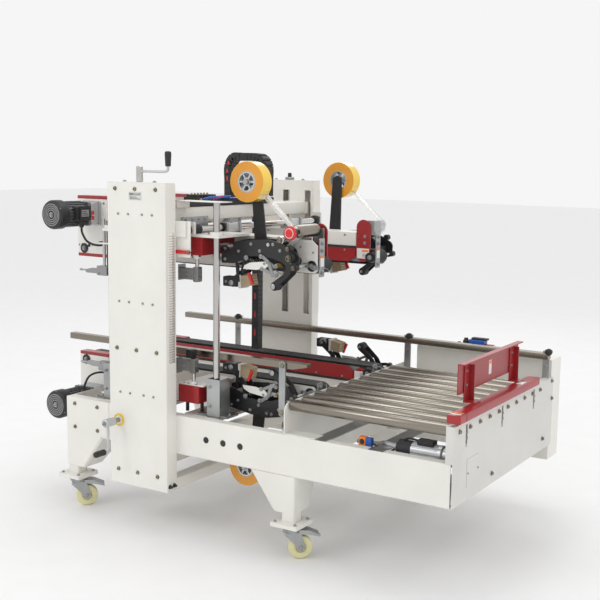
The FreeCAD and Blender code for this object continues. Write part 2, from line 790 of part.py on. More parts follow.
def near_posts():
    """Chrome posts in their channel brackets, which stand on the near lower carriage."""
    parts = []
    base = f"(2 * {MIDDLE_Z} - {UNIT_TOP})"
    upright = (base, "bracket_top")
    for x in ("post_left", "post_right"):
        parts.append(rod("z", (x, "post_y"), (base, "post_top"), "post_radius"))
        for side in (f"{x} - 31", f"{x} + 25"):
            parts.append(block((side, f"{side} + 6"), ("post_y - 23", "post_y + 43"), upright))
        parts.append(block((f"{x} - 31", f"{x} + 31"), ("post_y - 23", "post_y - 17"), upright))
        parts.append(block((f"{x} - 25", f"{x} + 25"), ("post_y - 17", "post_y + 37"),
                           ("bracket_top - 48", "bracket_top - 36")))
    return join(*parts)


def post_clamps():
    """The bored bosses of the near upper carriage, which slide along the posts."""
    bosses = [
        rod("z", (x, "post_y"), (UNIT_TOP, f"{UNIT_TOP} + 26"), "post_radius + 13")
        for x in ("post_left", "post_right")
    ]
    bores = [
        rod("z", (x, "post_y"), (f"{UNIT_TOP} - 2", f"{UNIT_TOP} + 30"), "post_radius + running_gap")
        for x in ("post_left", "post_right")
    ]
    return cut(join(carriage_arms(), *bosses), *bores)


def button_holder():
    """The bored tube behind the emergency stop, on a bracket from the unit's side plate."""
    centre = ("button_x", "button_z")
    tube = rod("y", centre, ("head_front", "unit_front + 4"), 22)
    bracket = block(("button_x - 20", "button_x + 20"), ("unit_front", "unit_front + unit_wall"),
                    (f"{UNIT_TOP} - 20", "button_z"))
    bore = rod("y", centre, ("head_front - 1", "head_front + 24"), "button_stem_radius + running_gap")
    return cut(join(tube, bracket), bore)


def emergency_stop():
    centre = ("button_x", "button_z")
    return join(
        rod("y", centre, ("head_front - 10", "head_front + 10"), "button_stem_radius"),
        rod("y", centre, ("head_front - 26", "head_front - 10"), "button_radius"),
    )


def width_nut():
    """The nut block of the width screw, under the near lower carriage."""
    base = f"(2 * {MIDDLE_Z} - {UNIT_TOP})"
    body = block(("width_screw_x - 22", "width_screw_x + 22"), ("unit_front", UNIT_BACK),
                 ("width_screw_z - 22", base))
    bore = rod("y", ("width_screw_x", "width_screw_z"), ("unit_front - 1", f"{UNIT_BACK} + 1"),
               "width_screw_radius + running_gap")
    return cut(body, bore)


def rail_post(x, y, z):
    """A flat bar that carries a guide rail."""
    half = "rail_post_width / 2"
    return block((f"{x} - {half}", f"{x} + {half}"), y, z)


def far_guide_rail():
    rail = block(("far_rail_left", "bed_right - 2"), ("far_rail_front", "far_rail_front + rail_depth"),
                 ("far_rail_bottom", "far_rail_bottom + rail_height"))
    back = "far_rail_front + rail_depth"
    posts = [
        rail_post(x, (back, f"{back} + 8"), ("bed_top", "far_rail_bottom + rail_height + 15"))
        for x in (-105, 807, 1431)
    ]
    return join(rail, *posts)


def near_guide_rail():
    back = "(near_rail_front + near_rail_depth)"
    parts = [block(("near_rail_left", "near_rail_right"), ("near_rail_front", back),
                   ("near_rail_bottom", "near_rail_bottom + rail_height"))]
    for x, foot_back, foot_bottom in ((-310, "unit_front", 560), (700, "head_front", 500)):
        parts.append(rail_post(x, ("near_rail_front - 6", "near_rail_front"),
                               (foot_bottom, "near_rail_bottom + 33")))
        parts.append(rail_post(x, ("near_rail_front - 6", foot_back), (foot_bottom, f"{foot_bottom} + 10")))
    return join(*parts)


def control_cabinet():
    """A closed sheet-metal cabinet on the bed's rear side."""
    left = "cabinet_left"
    right = "bed_right - panel_wall"
    outer = block((left, right), (BED_BACK, f"{BED_BACK} + cabinet_depth"), ("cabinet_bottom", "cabinet_top"))
    hollow = block((f"{left} + bed_wall", f"{right} - bed_wall"),
                   (f"{BED_BACK} + bed_wall", f"{BED_BACK} + cabinet_depth - bed_wall"),
                   ("cabinet_bottom + bed_wall", "cabinet_top - bed_wall"))
    return cut(outer, hollow)


def machine_bolts():
    """Button-head screws on the columns and leg gussets."""
    def head(radius, height):
        return lambda x, z: rod("y", (x, z), (f"0 - {height}", 0), radius)

    def gusset_head(x, z):
        return rod("y", (x, z), (f"{BED_FRONT} - bed_wall - 4", f"{BED_FRONT} - bed_wall"), 6)

    front = join(
        grid((43, 142, 243), (234, 721, 1337), head(9, 6)),
        grid((57, 107, 176, 225), (547, 905, 1242), head(5, 4)),
        grid((-246, -122), (349, 447), gusset_head),
    )
    return join(front, mirror(front, "y", MIDDLE_Y))


# ---- the nodes -------------------------------------------------------------------------------

node("bed_frame", bed_frame())
node("portal_frame", portal_frame())
node("legs", legs())
node("table_frame", table_frame())
node("control_cabinet", control_cabinet())
node("far_guide_rail", far_guide_rail())
node("near_guide_rail", near_guide_rail())
node("machine_bolts", machine_bolts())
node("table_guard", table_guard())
node("height_crank", height_crank())
node("rear_lift_screw", mirror(lift_screw("column_top + 32"), "y", MIDDLE_Y))
node("width_crank", width_crank())
node("gantry_beam", gantry_beam())
node("emergency_stop", emergency_stop())

for index in range(ROLLER_COUNT):
    node(f"roller_{index + 1:02d}", roller(index))

for corner, x, y in (("front_left", LEFT_FOOT, FRONT_FOOT), ("front_right", RIGHT_FOOT, FRONT_FOOT),
                     ("rear_left", LEFT_FOOT, REAR_FOOT), ("rear_right", RIGHT_FOOT, REAR_FOOT)):
    for name, make in (("castor_fork", castor_fork), ("castor_wheel", castor_wheel)):
        item = node(f"{name}_{corner}", make())
        turn = FreeCAD.Rotation(FreeCAD.Vector(0, 0, 1), SIZES["castor_turn"])
        place(item, x, y, 0, turn=turn)

UNIT_PIECES = {
    "drive_belt": drive_belt,
    "gearmotor": gearmotor,
    "tape_head": head_frame,
    "tape_roll": tape_roll,
    "applying_arm": lambda: swing_arm("applying_x", "applying_back"),
    "wiping_arm": lambda: swing_arm("wiping_x", "wiping_back"),
}

for name, make in UNIT_PIECES.items():
    near_upper = node(f"{name}_upper_near", make())
    near_lower = node(f"{name}_lower_near", mirror(near_upper, "z", MIDDLE_Z))
    node(f"{name}_upper_far", mirror(near_upper, "y", "lane_middle"))
    node(f"{name}_lower_far", mirror(near_lower, "y", "lane_middle"))

# the belt units differ only in what carries them
shared = join(conveyor(), hangers())
lower_shared = mirror(shared, "z", MIDDLE_Z)
node("belt_unit_upper_near", join(shared, post_clamps(), button_holder()))
node("belt_unit_lower_near",
     join(lower_shared, mirror(carriage_arms(), "z", MIDDLE_Z), width_nut(), near_posts()))
node("belt_unit_upper_far", mirror(shared, "y", "lane_middle"))
node("belt_unit_lower_far", mirror(lower_shared, "y", "lane_middle"))

doc.recompute()

for item in doc.Objects:
    if "Invalid" in item.State or "Error" in item.State:
        raise RuntimeError(f"{item.Label} failed: {item.State}")
for item in nodes:
    if item.Shape.isNull() or not item.Shape.isValid():
        raise RuntimeError(f"{item.Label} has no valid shape")

os.makedirs("parts", exist_ok=True)
for item in nodes:
    item.Shape.exportStep(f"parts/{item.Label}.step")
    box = item.Shape.BoundBox
    print(f"{item.Label:26s} {len(item.Shape.Solids):3d} solids {item.Shape.Volume / 1e6:8.3f} l"
          f"  x {box.XMin:7.1f}..{box.XMax:7.1f}  y {box.YMin:7.1f}..{box.YMax:7.1f}"
          f"  z {box.ZMin:7.1f}..{box.ZMax:7.1f}")
print(len(nodes), "nodes")
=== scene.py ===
import math

import bmesh
import bpy
from mathutils import Matrix, Vector


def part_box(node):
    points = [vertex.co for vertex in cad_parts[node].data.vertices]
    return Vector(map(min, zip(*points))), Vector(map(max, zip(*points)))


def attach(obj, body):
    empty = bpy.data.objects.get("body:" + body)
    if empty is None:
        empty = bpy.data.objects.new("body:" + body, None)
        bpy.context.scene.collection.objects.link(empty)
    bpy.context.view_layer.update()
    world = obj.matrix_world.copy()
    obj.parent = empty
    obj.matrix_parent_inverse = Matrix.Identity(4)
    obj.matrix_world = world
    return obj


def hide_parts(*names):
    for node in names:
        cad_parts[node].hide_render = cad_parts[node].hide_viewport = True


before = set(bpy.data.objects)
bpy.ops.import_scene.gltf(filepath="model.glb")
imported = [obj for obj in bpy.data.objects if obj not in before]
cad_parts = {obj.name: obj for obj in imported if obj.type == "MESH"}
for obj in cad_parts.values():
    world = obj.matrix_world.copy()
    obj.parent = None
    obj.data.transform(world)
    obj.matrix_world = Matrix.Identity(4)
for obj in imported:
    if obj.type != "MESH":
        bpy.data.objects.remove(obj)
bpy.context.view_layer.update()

# Stations are millimetres: x and y from the front column's outer left edge, z from the floor.
MM = 0.001
DATUM = Vector((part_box("portal_frame")[0].x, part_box("portal_frame")[0].y, 0.0))


def station_box(node):
    """A CAD node's lowest and highest corners as stations."""
    low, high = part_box(node)
    return (low - DATUM) / MM, (high - DATUM) / MM


COLUMN_LOW, COLUMN_HIGH = station_box("portal_frame")
BED_LOW, BED_HIGH = station_box("bed_frame")
TABLE_LOW, TABLE_HIGH = station_box("table_frame")
BELT_LOW, BELT_HIGH = station_box("drive_belt_upper_near")
FAR_BELT_HIGH = station_box("drive_belt_upper_far")[1]
LOWER_BELT_HIGH = station_box("drive_belt_lower_near")[1]
BED_MIDDLE = (BED_LOW.y + BED_HIGH.y) / 2
LANE_MIDDLE = (BELT_LOW.y + FAR_BELT_HIGH.y) / 2
BELT_MIDDLE = (BELT_LOW.z + LOWER_BELT_HIGH.z) / 2
COLUMN_WIDTH = COLUMN_HIGH.x
COLUMN_DEPTH = BED_LOW.y


# ---- materials --------------------------------------------------------------------------------

def surface(name, colour, rough, metal=0.0, grain=900.0, bump=0.1, mottle=0.05, stretch=(1, 1, 1),
            coat=0.0, rough_spread=0.06, sheen=0.0, transmission=0.0, alpha=1.0):
    """A principled material whose colour, roughness and height vary with noise in the piece."""
    material = bpy.data.materials.new(name)
    material.use_nodes = True
    nodes = material.node_tree.nodes
    links = material.node_tree.links
    shader = nodes["Principled BSDF"]
    shader.inputs["Metallic"].default_value = metal
    shader.inputs["Coat Weight"].default_value = coat
    shader.inputs["Sheen Weight"].default_value = sheen
    shader.inputs["Transmission Weight"].default_value = transmission
    shader.inputs["Alpha"].default_value = alpha
    place = nodes.new("ShaderNodeTexCoord")
    mapping = nodes.new("ShaderNodeMapping")
    mapping.inputs["Scale"].default_value = stretch
    links.new(place.outputs["Object"], mapping.inputs["Vector"])

    def noise(scale, detail):
        texture = nodes.new("ShaderNodeTexNoise")
        texture.inputs["Scale"].default_value = scale
        texture.inputs["Detail"].default_value = detail
        links.new(mapping.outputs["Vector"], texture.inputs["Vector"])
        return texture.outputs["Fac"]

    ramp = nodes.new("ShaderNodeValToRGB")
    ramp.color_ramp.elements[0].position = 0.3
    ramp.color_ramp.elements[1].position = 0.7
    ramp.color_ramp.elements[0].color = [c * (1 - mottle) for c in colour] + [1]
    ramp.color_ramp.elements[1].color = [min(1, c * (1 + mottle)) for c in colour] + [1]
    links.new(noise(7.0, 4.0), ramp.inputs["Fac"])
    links.new(ramp.outputs["Color"], shader.inputs["Base Color"])
    spread = nodes.new("ShaderNodeMapRange")
    spread.inputs["To Min"].default_value = max(0.02, rough - rough_spread)
    spread.inputs["To Max"].default_value = rough + rough_spread
    links.new(noise(grain / 12, 3.0), spread.inputs["Value"])
    links.new(spread.outputs["Result"], shader.inputs["Roughness"])
    height = nodes.new("ShaderNodeBump")
    height.inputs["Strength"].default_value = bump
    height.inputs["Distance"].default_value = 0.0006
    links.new(noise(grain, 2.0), height.inputs["Height"])
    links.new(height.outputs["Normal"], shader.inputs["Normal"])
    return material


def banded(material, direction, pitch, depth, dark=0.6, rings=False):
    """Adds fine parallel lines (or rings) to a material's height and colour."""
    nodes = material.node_tree.nodes
    links = material.node_tree.links
    shader = nodes["Principled BSDF"]
    place = nodes.new("ShaderNodeTexCoord")
    wave = nodes.new("ShaderNodeTexWave")
    wave.wave_type = "RINGS" if rings else "BANDS"
    if rings:
        wave.rings_direction = direction
    else:
        wave.bands_direction = direction
    wave.inputs["Scale"].default_value = 0.314 / pitch
    wave.inputs["Distortion"].default_value = 0.4
    links.new(place.outputs["Object"], wave.inputs["Vector"])
    height = nodes.new("ShaderNodeBump")
    height.inputs["Strength"].default_value = depth
    height.inputs["Distance"].default_value = 0.0008
    old = shader.inputs["Normal"].links[0].from_socket
    links.new(wave.outputs["Fac"], height.inputs["Height"])
    links.new(old, height.inputs["Normal"])
    links.new(height.outputs["Normal"], shader.inputs["Normal"])
    mix = nodes.new("ShaderNodeMix")
    mix.data_type = "RGBA"
    mix.blend_type = "MULTIPLY"
    mix.inputs["Factor"].default_value = 1.0
    shade = nodes.new("ShaderNodeValToRGB")
    shade.color_ramp.elements[0].color = (dark, dark, dark, 1)
    shade.color_ramp.elements[1].color = (1, 1, 1, 1)
    links.new(wave.outputs["Fac"], shade.inputs["Fac"])
    base = shader.inputs["Base Color"].links[0].from_socket
    links.new(base, mix.inputs["A"])
    links.new(shade.outputs["Color"], mix.inputs["B"])
    links.new(mix.outputs["Result"], shader.inputs["Base Color"])
    return material


white = surface("white_powder_coat", (0.80, 0.785, 0.735), 0.42, grain=1100, bump=0.14, mottle=0.03)
# Painted shade: this pale grey copy of the white also stands for the white end panel where it faces away
# from the lights; in the tape head it colours a grey strip.
pale = surface("pale_grey_coat_and_painted_shade", (0.66, 0.655, 0.62), 0.40, grain=1100, bump=0.14, mottle=0.035)
red = surface("red_powder_coat", (0.34, 0.016, 0.020), 0.34, grain=1100, bump=0.14, mottle=0.10, coat=0.2)
black = surface("black_paint", (0.016, 0.016, 0.018), 0.38, grain=800, bump=0.15, mottle=0.25)
matt_black = surface("black_moulding", (0.022, 0.022, 0.024), 0.58, grain=1500, bump=0.3, mottle=0.2)
zinc = surface("zinc_plate", (0.40, 0.41, 0.41), 0.36, metal=0.9, grain=160, bump=0.08, mottle=0.16,
               rough_spread=0.12)
cast = surface("grey_casting", (0.33, 0.33, 0.33), 0.55, metal=0.7, grain=700, bump=0.5, mottle=0.12)
chrome = surface("polished_chrome", (0.56, 0.55, 0.54), 0.13, metal=1.0, grain=60, bump=0.03, mottle=0.05,
                 rough_spread=0.05)
steel = banded(surface("turned_roller_steel", (0.30, 0.27, 0.23), 0.20, metal=1.0, grain=420, bump=0.06,
                       mottle=0.14, stretch=(0.08, 1, 1), rough_spread=0.08), "X", 0.003, 0.10, 0.92)
rail_steel = surface("brushed_rail_steel", (0.27, 0.24, 0.20), 0.24, metal=1.0, grain=500, bump=0.08,
                     mottle=0.12, stretch=(0.04, 1, 1))
rubber = banded(surface("belt_rubber", (0.022, 0.022, 0.023), 0.62, grain=1300, bump=0.35, mottle=0.2),
                "X", 0.006, 0.5, 0.8)
motor_paint = surface("motor_paint", (0.17, 0.18, 0.185), 0.28, metal=0.55, grain=600, bump=0.25,
                      mottle=0.15)
bolt_zinc = surface("passivated_bolt", (0.30, 0.27, 0.20), 0.32, metal=0.95, grain=300, bump=0.1,
                    mottle=0.3)
aluminium = surface("cast_aluminium", (0.56, 0.57, 0.58), 0.38, metal=0.95, grain=500, bump=0.25,
                    mottle=0.1)
brass = surface("brass_fitting", (0.62, 0.42, 0.13), 0.28, metal=1.0, grain=400, bump=0.08, mottle=0.12)
tape_face = banded(surface("wound_tape_side", (0.80, 0.33, 0.012), 0.30, grain=300, bump=0.1, mottle=0.08,
                           coat=0.5), "Y", 0.0035, 0.25, 0.80, rings=True)
tape_film = surface("tape_outer_film", (0.84, 0.55, 0.02), 0.14, grain=90, bump=0.06, mottle=0.08, coat=0.8)
web = surface("tape_web", (0.80, 0.79, 0.76), 0.14, grain=70, bump=0.08, mottle=0.10, coat=0.6,
              alpha=0.42)
tyre = surface("urethane_tyre", (0.72, 0.68, 0.38), 0.42, grain=500, bump=0.15, mottle=0.10)
core = surface("grey_card_core", (0.46, 0.42, 0.34), 0.85, grain=800, bump=0.4, mottle=0.12)
brush = banded(surface("brush_bristle", (0.60, 0.47, 0.30), 0.8, grain=1800, bump=0.8, mottle=0.2,
                       stretch=(1, 1, 0.1)), "X", 0.002, 0.9, 0.55)
bright_red = surface("red_moulding", (0.62, 0.012, 0.014), 0.25, grain=400, bump=0.05, mottle=0.06,
                     coat=0.4)
blue = surface("blue_moulding", (0.02, 0.10, 0.42), 0.35, grain=500, bump=0.05, mottle=0.08)
orange = surface("orange_moulding", (0.85, 0.22, 0.02), 0.35, grain=500, bump=0.05, mottle=0.08)
yellow = surface("yellow_ring", (0.80, 0.55, 0.03), 0.35, grain=500, bump=0.05, mottle=0.06)
label = surface("blank_label", (0.78, 0.78, 0.76), 0.30, grain=900, bump=0.04, mottle=0.03, coat=0.3)
ink = surface("label_line", (0.05, 0.05, 0.06), 0.5, grain=900, bump=0.04, mottle=0.1)
rule_ink = surface("rule_line", (0.42, 0.22, 0.16), 0.5, grain=900, bump=0.04, mottle=0.1)
floor_paint = surface("studio_floor", (0.90, 0.90, 0.90), 0.75, grain=40, bump=0.02, mottle=0.01)


# ---- shapes -----------------------------------------------------------------------------------

AXES = {"x": (1, 2, 0), "y": (0, 2, 1), "z": (0, 1, 2)}


def rounded(u0, u1, v0, v1, radius, steps=4):
    """A rectangle with round corners, as an outline of points."""
    outline = []
    corners = ((u1 - radius, v1 - radius, 0), (u0 + radius, v1 - radius, 90),
               (u0 + radius, v0 + radius, 180), (u1 - radius, v0 + radius, 270))
    for u, v, start in corners:
        for step in range(steps + 1):
            angle = math.radians(start + 90 * step / steps)
            outline.append((u + radius * math.cos(angle), v + radius * math.sin(angle)))
    return outline


class Shape:
    """A mesh being built from simple solids in stations, with optional mirroring in y and z."""

    def __init__(self, flip_y=None, flip_z=None, place=None):
        self.mesh = bmesh.new()
        self.materials = []
        self.flip_y = flip_y
        self.flip_z = flip_z
        self.place = place or Matrix.Identity(4)

    def emit(self, points, faces, material):
        """Adds points and faces, mirrored where the shape says so."""
        if material not in self.materials:
            self.materials.append(material)
        verts = []
        for point in points:
            x, y, z = self.place @ Vector(point)
            y = y if self.flip_y is None else 2 * self.flip_y - y
            z = z if self.flip_z is None else 2 * self.flip_z - z
            verts.append(self.mesh.verts.new(DATUM + Vector((x, y, z)) * MM))
        turned = (self.flip_y is None) != (self.flip_z is None)
        for face in faces:
            ring = [verts[i] for i in (reversed(face) if turned else face)]
            made = self.mesh.faces.new(ring)
            made.material_index = self.materials.index(material)
            made.smooth = True

    def prism(self, axis, outline, start, end, material, end_outline=None):
        """An outline pushed from start to end along an axis, tapering to end_outline."""
        u, v, w = AXES[axis]
        rings = ((outline, start), (end_outline or outline, end))
        points = []
        for ring, along in rings:
            for a, b in ring:
                point = [0, 0, 0]
                point[u], point[v], point[w] = a, b, along
                points.append(point)
        count = len(outline)
        area = sum(outline[i - 1][0] * outline[i][1] - outline[i][0] * outline[i - 1][1]
                   for i in range(count))
        turned = (area > 0) == (axis == "y")
        faces = [tuple(range(count - 1, -1, -1)), tuple(range(count, 2 * count))]
        faces += [(i, (i + 1) % count, count + (i + 1) % count, count + i) for i in range(count)]
        if turned != (end < start):
            faces = [tuple(reversed(face)) for face in faces]
        self.emit(points, faces, material)

    def box(self, xs, ys, zs, material):
        outline = [(xs[0], ys[0]), (xs[1], ys[0]), (xs[1], ys[1]), (xs[0], ys[1])]
        self.prism("z", outline, zs[0], zs[1], material)

    def soft_box(self, axis, us, vs, span, radius, material):
        """A block whose four edges along the axis are round."""
        self.prism(axis, rounded(us[0], us[1], vs[0], vs[1], radius), span[0], span[1], material)

    def lathe(self, axis, centre, profile, material, segments=32):
        """A profile of (along, radius) points turned about an axis through the centre."""
        u, v, w = AXES[axis]
        points = []
        rings = []
        for along, radius in profile:
            ring = []
            for step in range(1 if radius == 0 else segments):
                angle = 2 * math.pi * step / segments
                point = [0, 0, 0]
                point[u] = centre[0] + radius * math.cos(angle)
                point[v] = centre[1] + radius * math.sin(angle)
                point[w] = along
                ring.append(len(points))
                points.append(point)
            rings.append(ring)
        faces = []
        for first, second in zip(rings, rings[1:]):
            for step in range(segments):
                after = (step + 1) % segments
                if len(first) == 1 and len(second) == 1:
                    continue
                if len(first) == 1:
                    faces.append((first[0], second[step], second[after]))
                elif len(second) == 1:
                    faces.append((first[step], second[0], first[after]))
                else:
                    faces.append((first[step], second[step], second[after], first[after]))
        if axis != "y":
            faces = [tuple(reversed(face)) for face in faces]
        self.emit(points, faces, material)

    def rod(self, axis, centre, span, radius, material, segments=32):
        low, high = span
        self.lathe(axis, centre, [(low, 0), (low, radius), (high, radius), (high, 0)], material, segments)

    def ring(self, axis, centre, span, outer, inner, material, segments=40):
        low, high = span
        profile = [(low, inner), (low, outer), (high, outer), (high, inner), (low, inner)]
        self.lathe(axis, centre, profile, material, segments)

    def screw(self, axis, centre, face, out, radius, material=zinc):
        """A socket-head screw on a washer; out is +1 or -1 along the axis."""
        height = radius * 1.1
        profile = [(0, 0), (0, 1.45), (0.16, 1.45), (0.16, 1.0), (0.85, 1.0), (1.0, 0.82), (1.0, 0.5),
                   (0.5, 0.45), (0.5, 0)]
        points = [(face + out * along * height, turn * radius) for along, turn in profile]
        if out < 0:
            points.reverse()
        self.lathe(axis, centre, points, material, 14)

    def pipe(self, points, radius, material, segments=10, steps=8):
        """A round tube along a smooth line through the points."""
        path = smooth_path([Vector(p) for p in points], steps)
        tangents = []
        for i, point in enumerate(path):
            tangents.append((path[min(i + 1, len(path) - 1)] - path[max(i - 1, 0)]).normalized())
        normal = tangents[0].orthogonal().normalized()
        verts = []
        for point, tangent in zip(path, tangents):
            normal = (normal - tangent * normal.dot(tangent)).normalized()
            side = tangent.cross(normal)
            for step in range(segments):
                angle = 2 * math.pi * step / segments
                verts.append(point + radius * (math.cos(angle) * normal + math.sin(angle) * side))
        faces = [tuple(range(segments - 1, -1, -1)),
                 tuple(range(len(verts) - segments, len(verts)))]
        for i in range(len(path) - 1):
            for step in range(segments):
                after = (step + 1) % segments
                a, b = i * segments, (i + 1) * segments
                faces.append((a + step, a + after, b + after, b + step))
        self.emit(verts, faces, material)

    def band(self, line, across, thickness, material):
        """A flat strip that follows (x, z) points and spans y; its thickness is centred on them."""
        left = []
        right = []
        for i, (x, z) in enumerate(line):
            before = Vector(line[max(i - 1, 0)])
            after = Vector(line[min(i + 1, len(line) - 1)])
            along = (after - before).normalized()
            normal = Vector((-along.y, along.x)) * thickness / 2
            left.append((x + normal.x, z + normal.y))
            right.append((x - normal.x, z - normal.y))
        self.prism("y", left + right[::-1], across[0], across[1], material)

    def finish(self, name, body, replaces=(), bevel=0.8, slot=None):
        """Makes the object, rounds its edges and lets it ride on its body."""
        data = bpy.data.meshes.new(name)
        sharp = math.radians(35)
        for edge in self.mesh.edges:
            edge.smooth = len(edge.link_faces) < 2 or edge.calc_face_angle(0) < sharp
        self.mesh.to_mesh(data)
        self.mesh.free()
        for material in self.materials:
            data.materials.append(material)
        piece = bpy.data.objects.new(name, data)
        bpy.context.scene.collection.objects.link(piece)
        if bevel:
            rounding = piece.modifiers.new("edges", "BEVEL")
            rounding.width = bevel * MM
            rounding.segments = 2
            rounding.limit_method = "ANGLE"
            rounding.angle_limit = sharp
            rounding.harden_normals = True
        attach(piece, body)
        if replaces:
            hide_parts(*replaces)
        return piece


def smooth_path(points, steps):
    """Catmull-Rom points through the given ones."""
    path = []
    padded = [points[0]] + points + [points[-1]]
    for a, b, c, d in zip(padded, padded[1:], padded[2:], padded[3:]):
        for step in range(steps):
            t = step / steps
            path.append(0.5 * (2 * b + (c - a) * t + (2 * a - 5 * b + 4 * c - d) * t * t
                               + (3 * b - a - 3 * c + d) * t * t * t))
    path.append(points[-1])
    return path


# ---- columns, bed and legs --------------------------------------------------------------------

SHEET = 4
SCREW_ROWS = (234, 721, 1337)
SCREW_COLUMNS = (43, 142, 243)
SMALL_ROWS = (547, 905, 1242)
SMALL_COLUMNS = (57, 107, 176, 225)
SLOT_LOW, SLOT_HIGH = 750, 1318
SLOTS = ((124, 159), (243, COLUMN_WIDTH - 15))
GUIDE_ROD_X = 259


def column(shape, windows):
    """A folded sheet column, slotted towards the bed; the rear one has windows on its outside too."""
    low, high = COLUMN_LOW.z, COLUMN_HIGH.z
    width, depth = COLUMN_WIDTH, COLUMN_DEPTH
    fold = [(0, depth), (0, 5), (1.5, 1.5), (5, 0), (width - 5, 0), (width - 1.5, 1.5), (width, 5),
            (width, depth), (width - SHEET, depth), (width - SHEET, SHEET), (SHEET, SHEET), (SHEET, depth)]
    if windows:
        shape.prism("z", fold, low + SHEET, SLOT_LOW, white)
        shape.prism("z", fold, SLOT_HIGH, high - SHEET, white)
        for side in (0, width - SHEET):
            shape.box((side, side + SHEET), (0, depth), (SLOT_LOW, SLOT_HIGH), white)
    else:
        shape.prism("z", fold, low + SHEET, high - SHEET, white)
    shape.soft_box("z", (0, width), (0, depth), (high - SHEET, high), 5, white)
    shape.soft_box("z", (0, width), (0, depth), (low, low + SHEET), 5, white)
    back = (depth - SHEET, depth)
    edges = [SHEET] + [x for slot in SLOTS for x in slot] + [width - SHEET]
    for left, right in zip(edges[::2], edges[1::2]):
        shape.box((left, right), back, (SLOT_LOW, SLOT_HIGH), white)
        if windows:
            shape.box((left, right), (0, SHEET), (SLOT_LOW, SLOT_HIGH), white)
    shape.box((SHEET, width - SHEET), back, (low + SHEET, SLOT_LOW), white)
    shape.box((SHEET, width - SHEET), back, (SLOT_HIGH, high - SHEET), white)
    shape.rod("z", (GUIDE_ROD_X, depth / 2), (low + SHEET, high - SHEET), 10, chrome)
    for x in SCREW_COLUMNS:
        for z in SCREW_ROWS:
            shape.screw("y", (x, z), 0, -1, 6, bolt_zinc)
    for x in SMALL_COLUMNS:
        for z in SMALL_ROWS:
            shape.screw("y", (x, z), 0, -1, 3.8)
    for x in (66, 214):
        shape.screw("z", (x, depth / 2), high, 1, 6)


def columns():
    shape = Shape()
    column(shape, windows=False)
    shape.flip_y = BED_MIDDLE
    column(shape, windows=True)
    shape.flip_y = None
    for x in (0, COLUMN_WIDTH - 55):
        shape.soft_box("y", (x, x + 55), (COLUMN_LOW.z, COLUMN_LOW.z + 45),
                       (COLUMN_DEPTH, 2 * BED_MIDDLE - COLUMN_DEPTH), 4, white)
    for y in (15, 40):
        gland = [(COLUMN_WIDTH, 0), (COLUMN_WIDTH, 9), (COLUMN_WIDTH + 4, 9), (COLUMN_WIDTH + 6, 6),
                 (COLUMN_WIDTH + 14, 5), (COLUMN_WIDTH + 14, 0)]
        shape.lathe("x", (y, 198), gland, matt_black, 6)
    shape.finish("column_frame", "frame", ["portal_frame"], 1.2)


def column_plates():
    """The blank nameplate and the millimetre rule with its ticks."""
    shape = Shape()
    shape.box((112, 174), (-1.2, 0), (1296, 1326), label)
    shape.box((115, 171), (-1.6, -1.2), (1313, 1323), zinc)
    for line in range(3):
        shape.box((118, 168 - 9 * line), (-1.6, -1.2), (1299.5 + 4 * line, 1301 + 4 * line), ink)
    shape.box((COLUMN_WIDTH, COLUMN_WIDTH + 1), (13, 50), (682, 1178), white)
    for tick in range(50):
        z = 685 + 9.8 * tick
        for left, long in ((16, 13), (33, 15 if tick % 5 else 17)):
            shape.box((COLUMN_WIDTH + 1, COLUMN_WIDTH + 1.3), (left, left + long), (z, z + 1.7), rule_ink)
    shape.finish("column_rule_and_plate", "frame", bevel=0)


PLUG_XS = (433, 513, 592)
GUSSET_RIGHT = -60


def side_channel(shape):
    """A folded channel along the bed, open inwards."""
    front = BED_LOW.y
    low, high = BED_LOW.z, BED_HIGH.z
    flange = front + 40
    section = [(front, low + 3), (front + 3, low), (flange, low), (flange, low + SHEET),
               (front + SHEET, low + SHEET), (front + SHEET, high - SHEET), (flange, high - SHEET),
               (flange, high), (front + 3, high), (front, high - 3)]
    shape.prism("x", section, BED_LOW.x, BED_HIGH.x, white)
    for x in PLUG_XS:
        shape.lathe("y", (x, 397), [(front - 3, 0), (front - 3, 9), (front - 1, 12.5), (front, 12.5)],
                    matt_black, 24)
    gusset = [(BED_LOW.x, 181), (BED_LOW.x + 88, 181), (-102, low + 8), (GUSSET_RIGHT, low + 8),
              (GUSSET_RIGHT, high - 0.6), (BED_LOW.x, high - 0.6)]
    shape.prism("y", gusset, front - 2, front - 0.2, white)
    for x in (-246, -122):
        for z in (447, 349):
            shape.screw("y", (x, z), front - 2, -1, 6, bolt_zinc)


def bed():
    shape = Shape()
    side_channel(shape)
    shape.flip_y = BED_MIDDLE
    side_channel(shape)
    shape.flip_y = None
    front, back = BED_LOW.y + SHEET, BED_HIGH.y - SHEET
    for left in (BED_LOW.x, 330, 676, BED_HIGH.x - 56):
        outline = [(left, BED_LOW.z + SHEET), (left + SHEET, BED_LOW.z + SHEET),
                   (left + SHEET, BED_LOW.z + 72), (left + 36, BED_LOW.z + 72),
                   (left + 36, BED_LOW.z + SHEET), (left + 40, BED_LOW.z + SHEET),
                   (left + 40, BED_LOW.z + 76), (left, BED_LOW.z + 76)]
        shape.prism("y", outline, front, back, white)
    shape.box((BED_LOW.x, BED_LOW.x + SHEET), (front, back), (BED_LOW.z + 76, BED_HIGH.z), white)
    shape.finish("bed_channels", "frame", ["bed_frame"], 0.8)


LEG_TOP = (196, 163)
LEG_FOOT = (92, 109)
POST = 56
FOOT_PLATE = 116


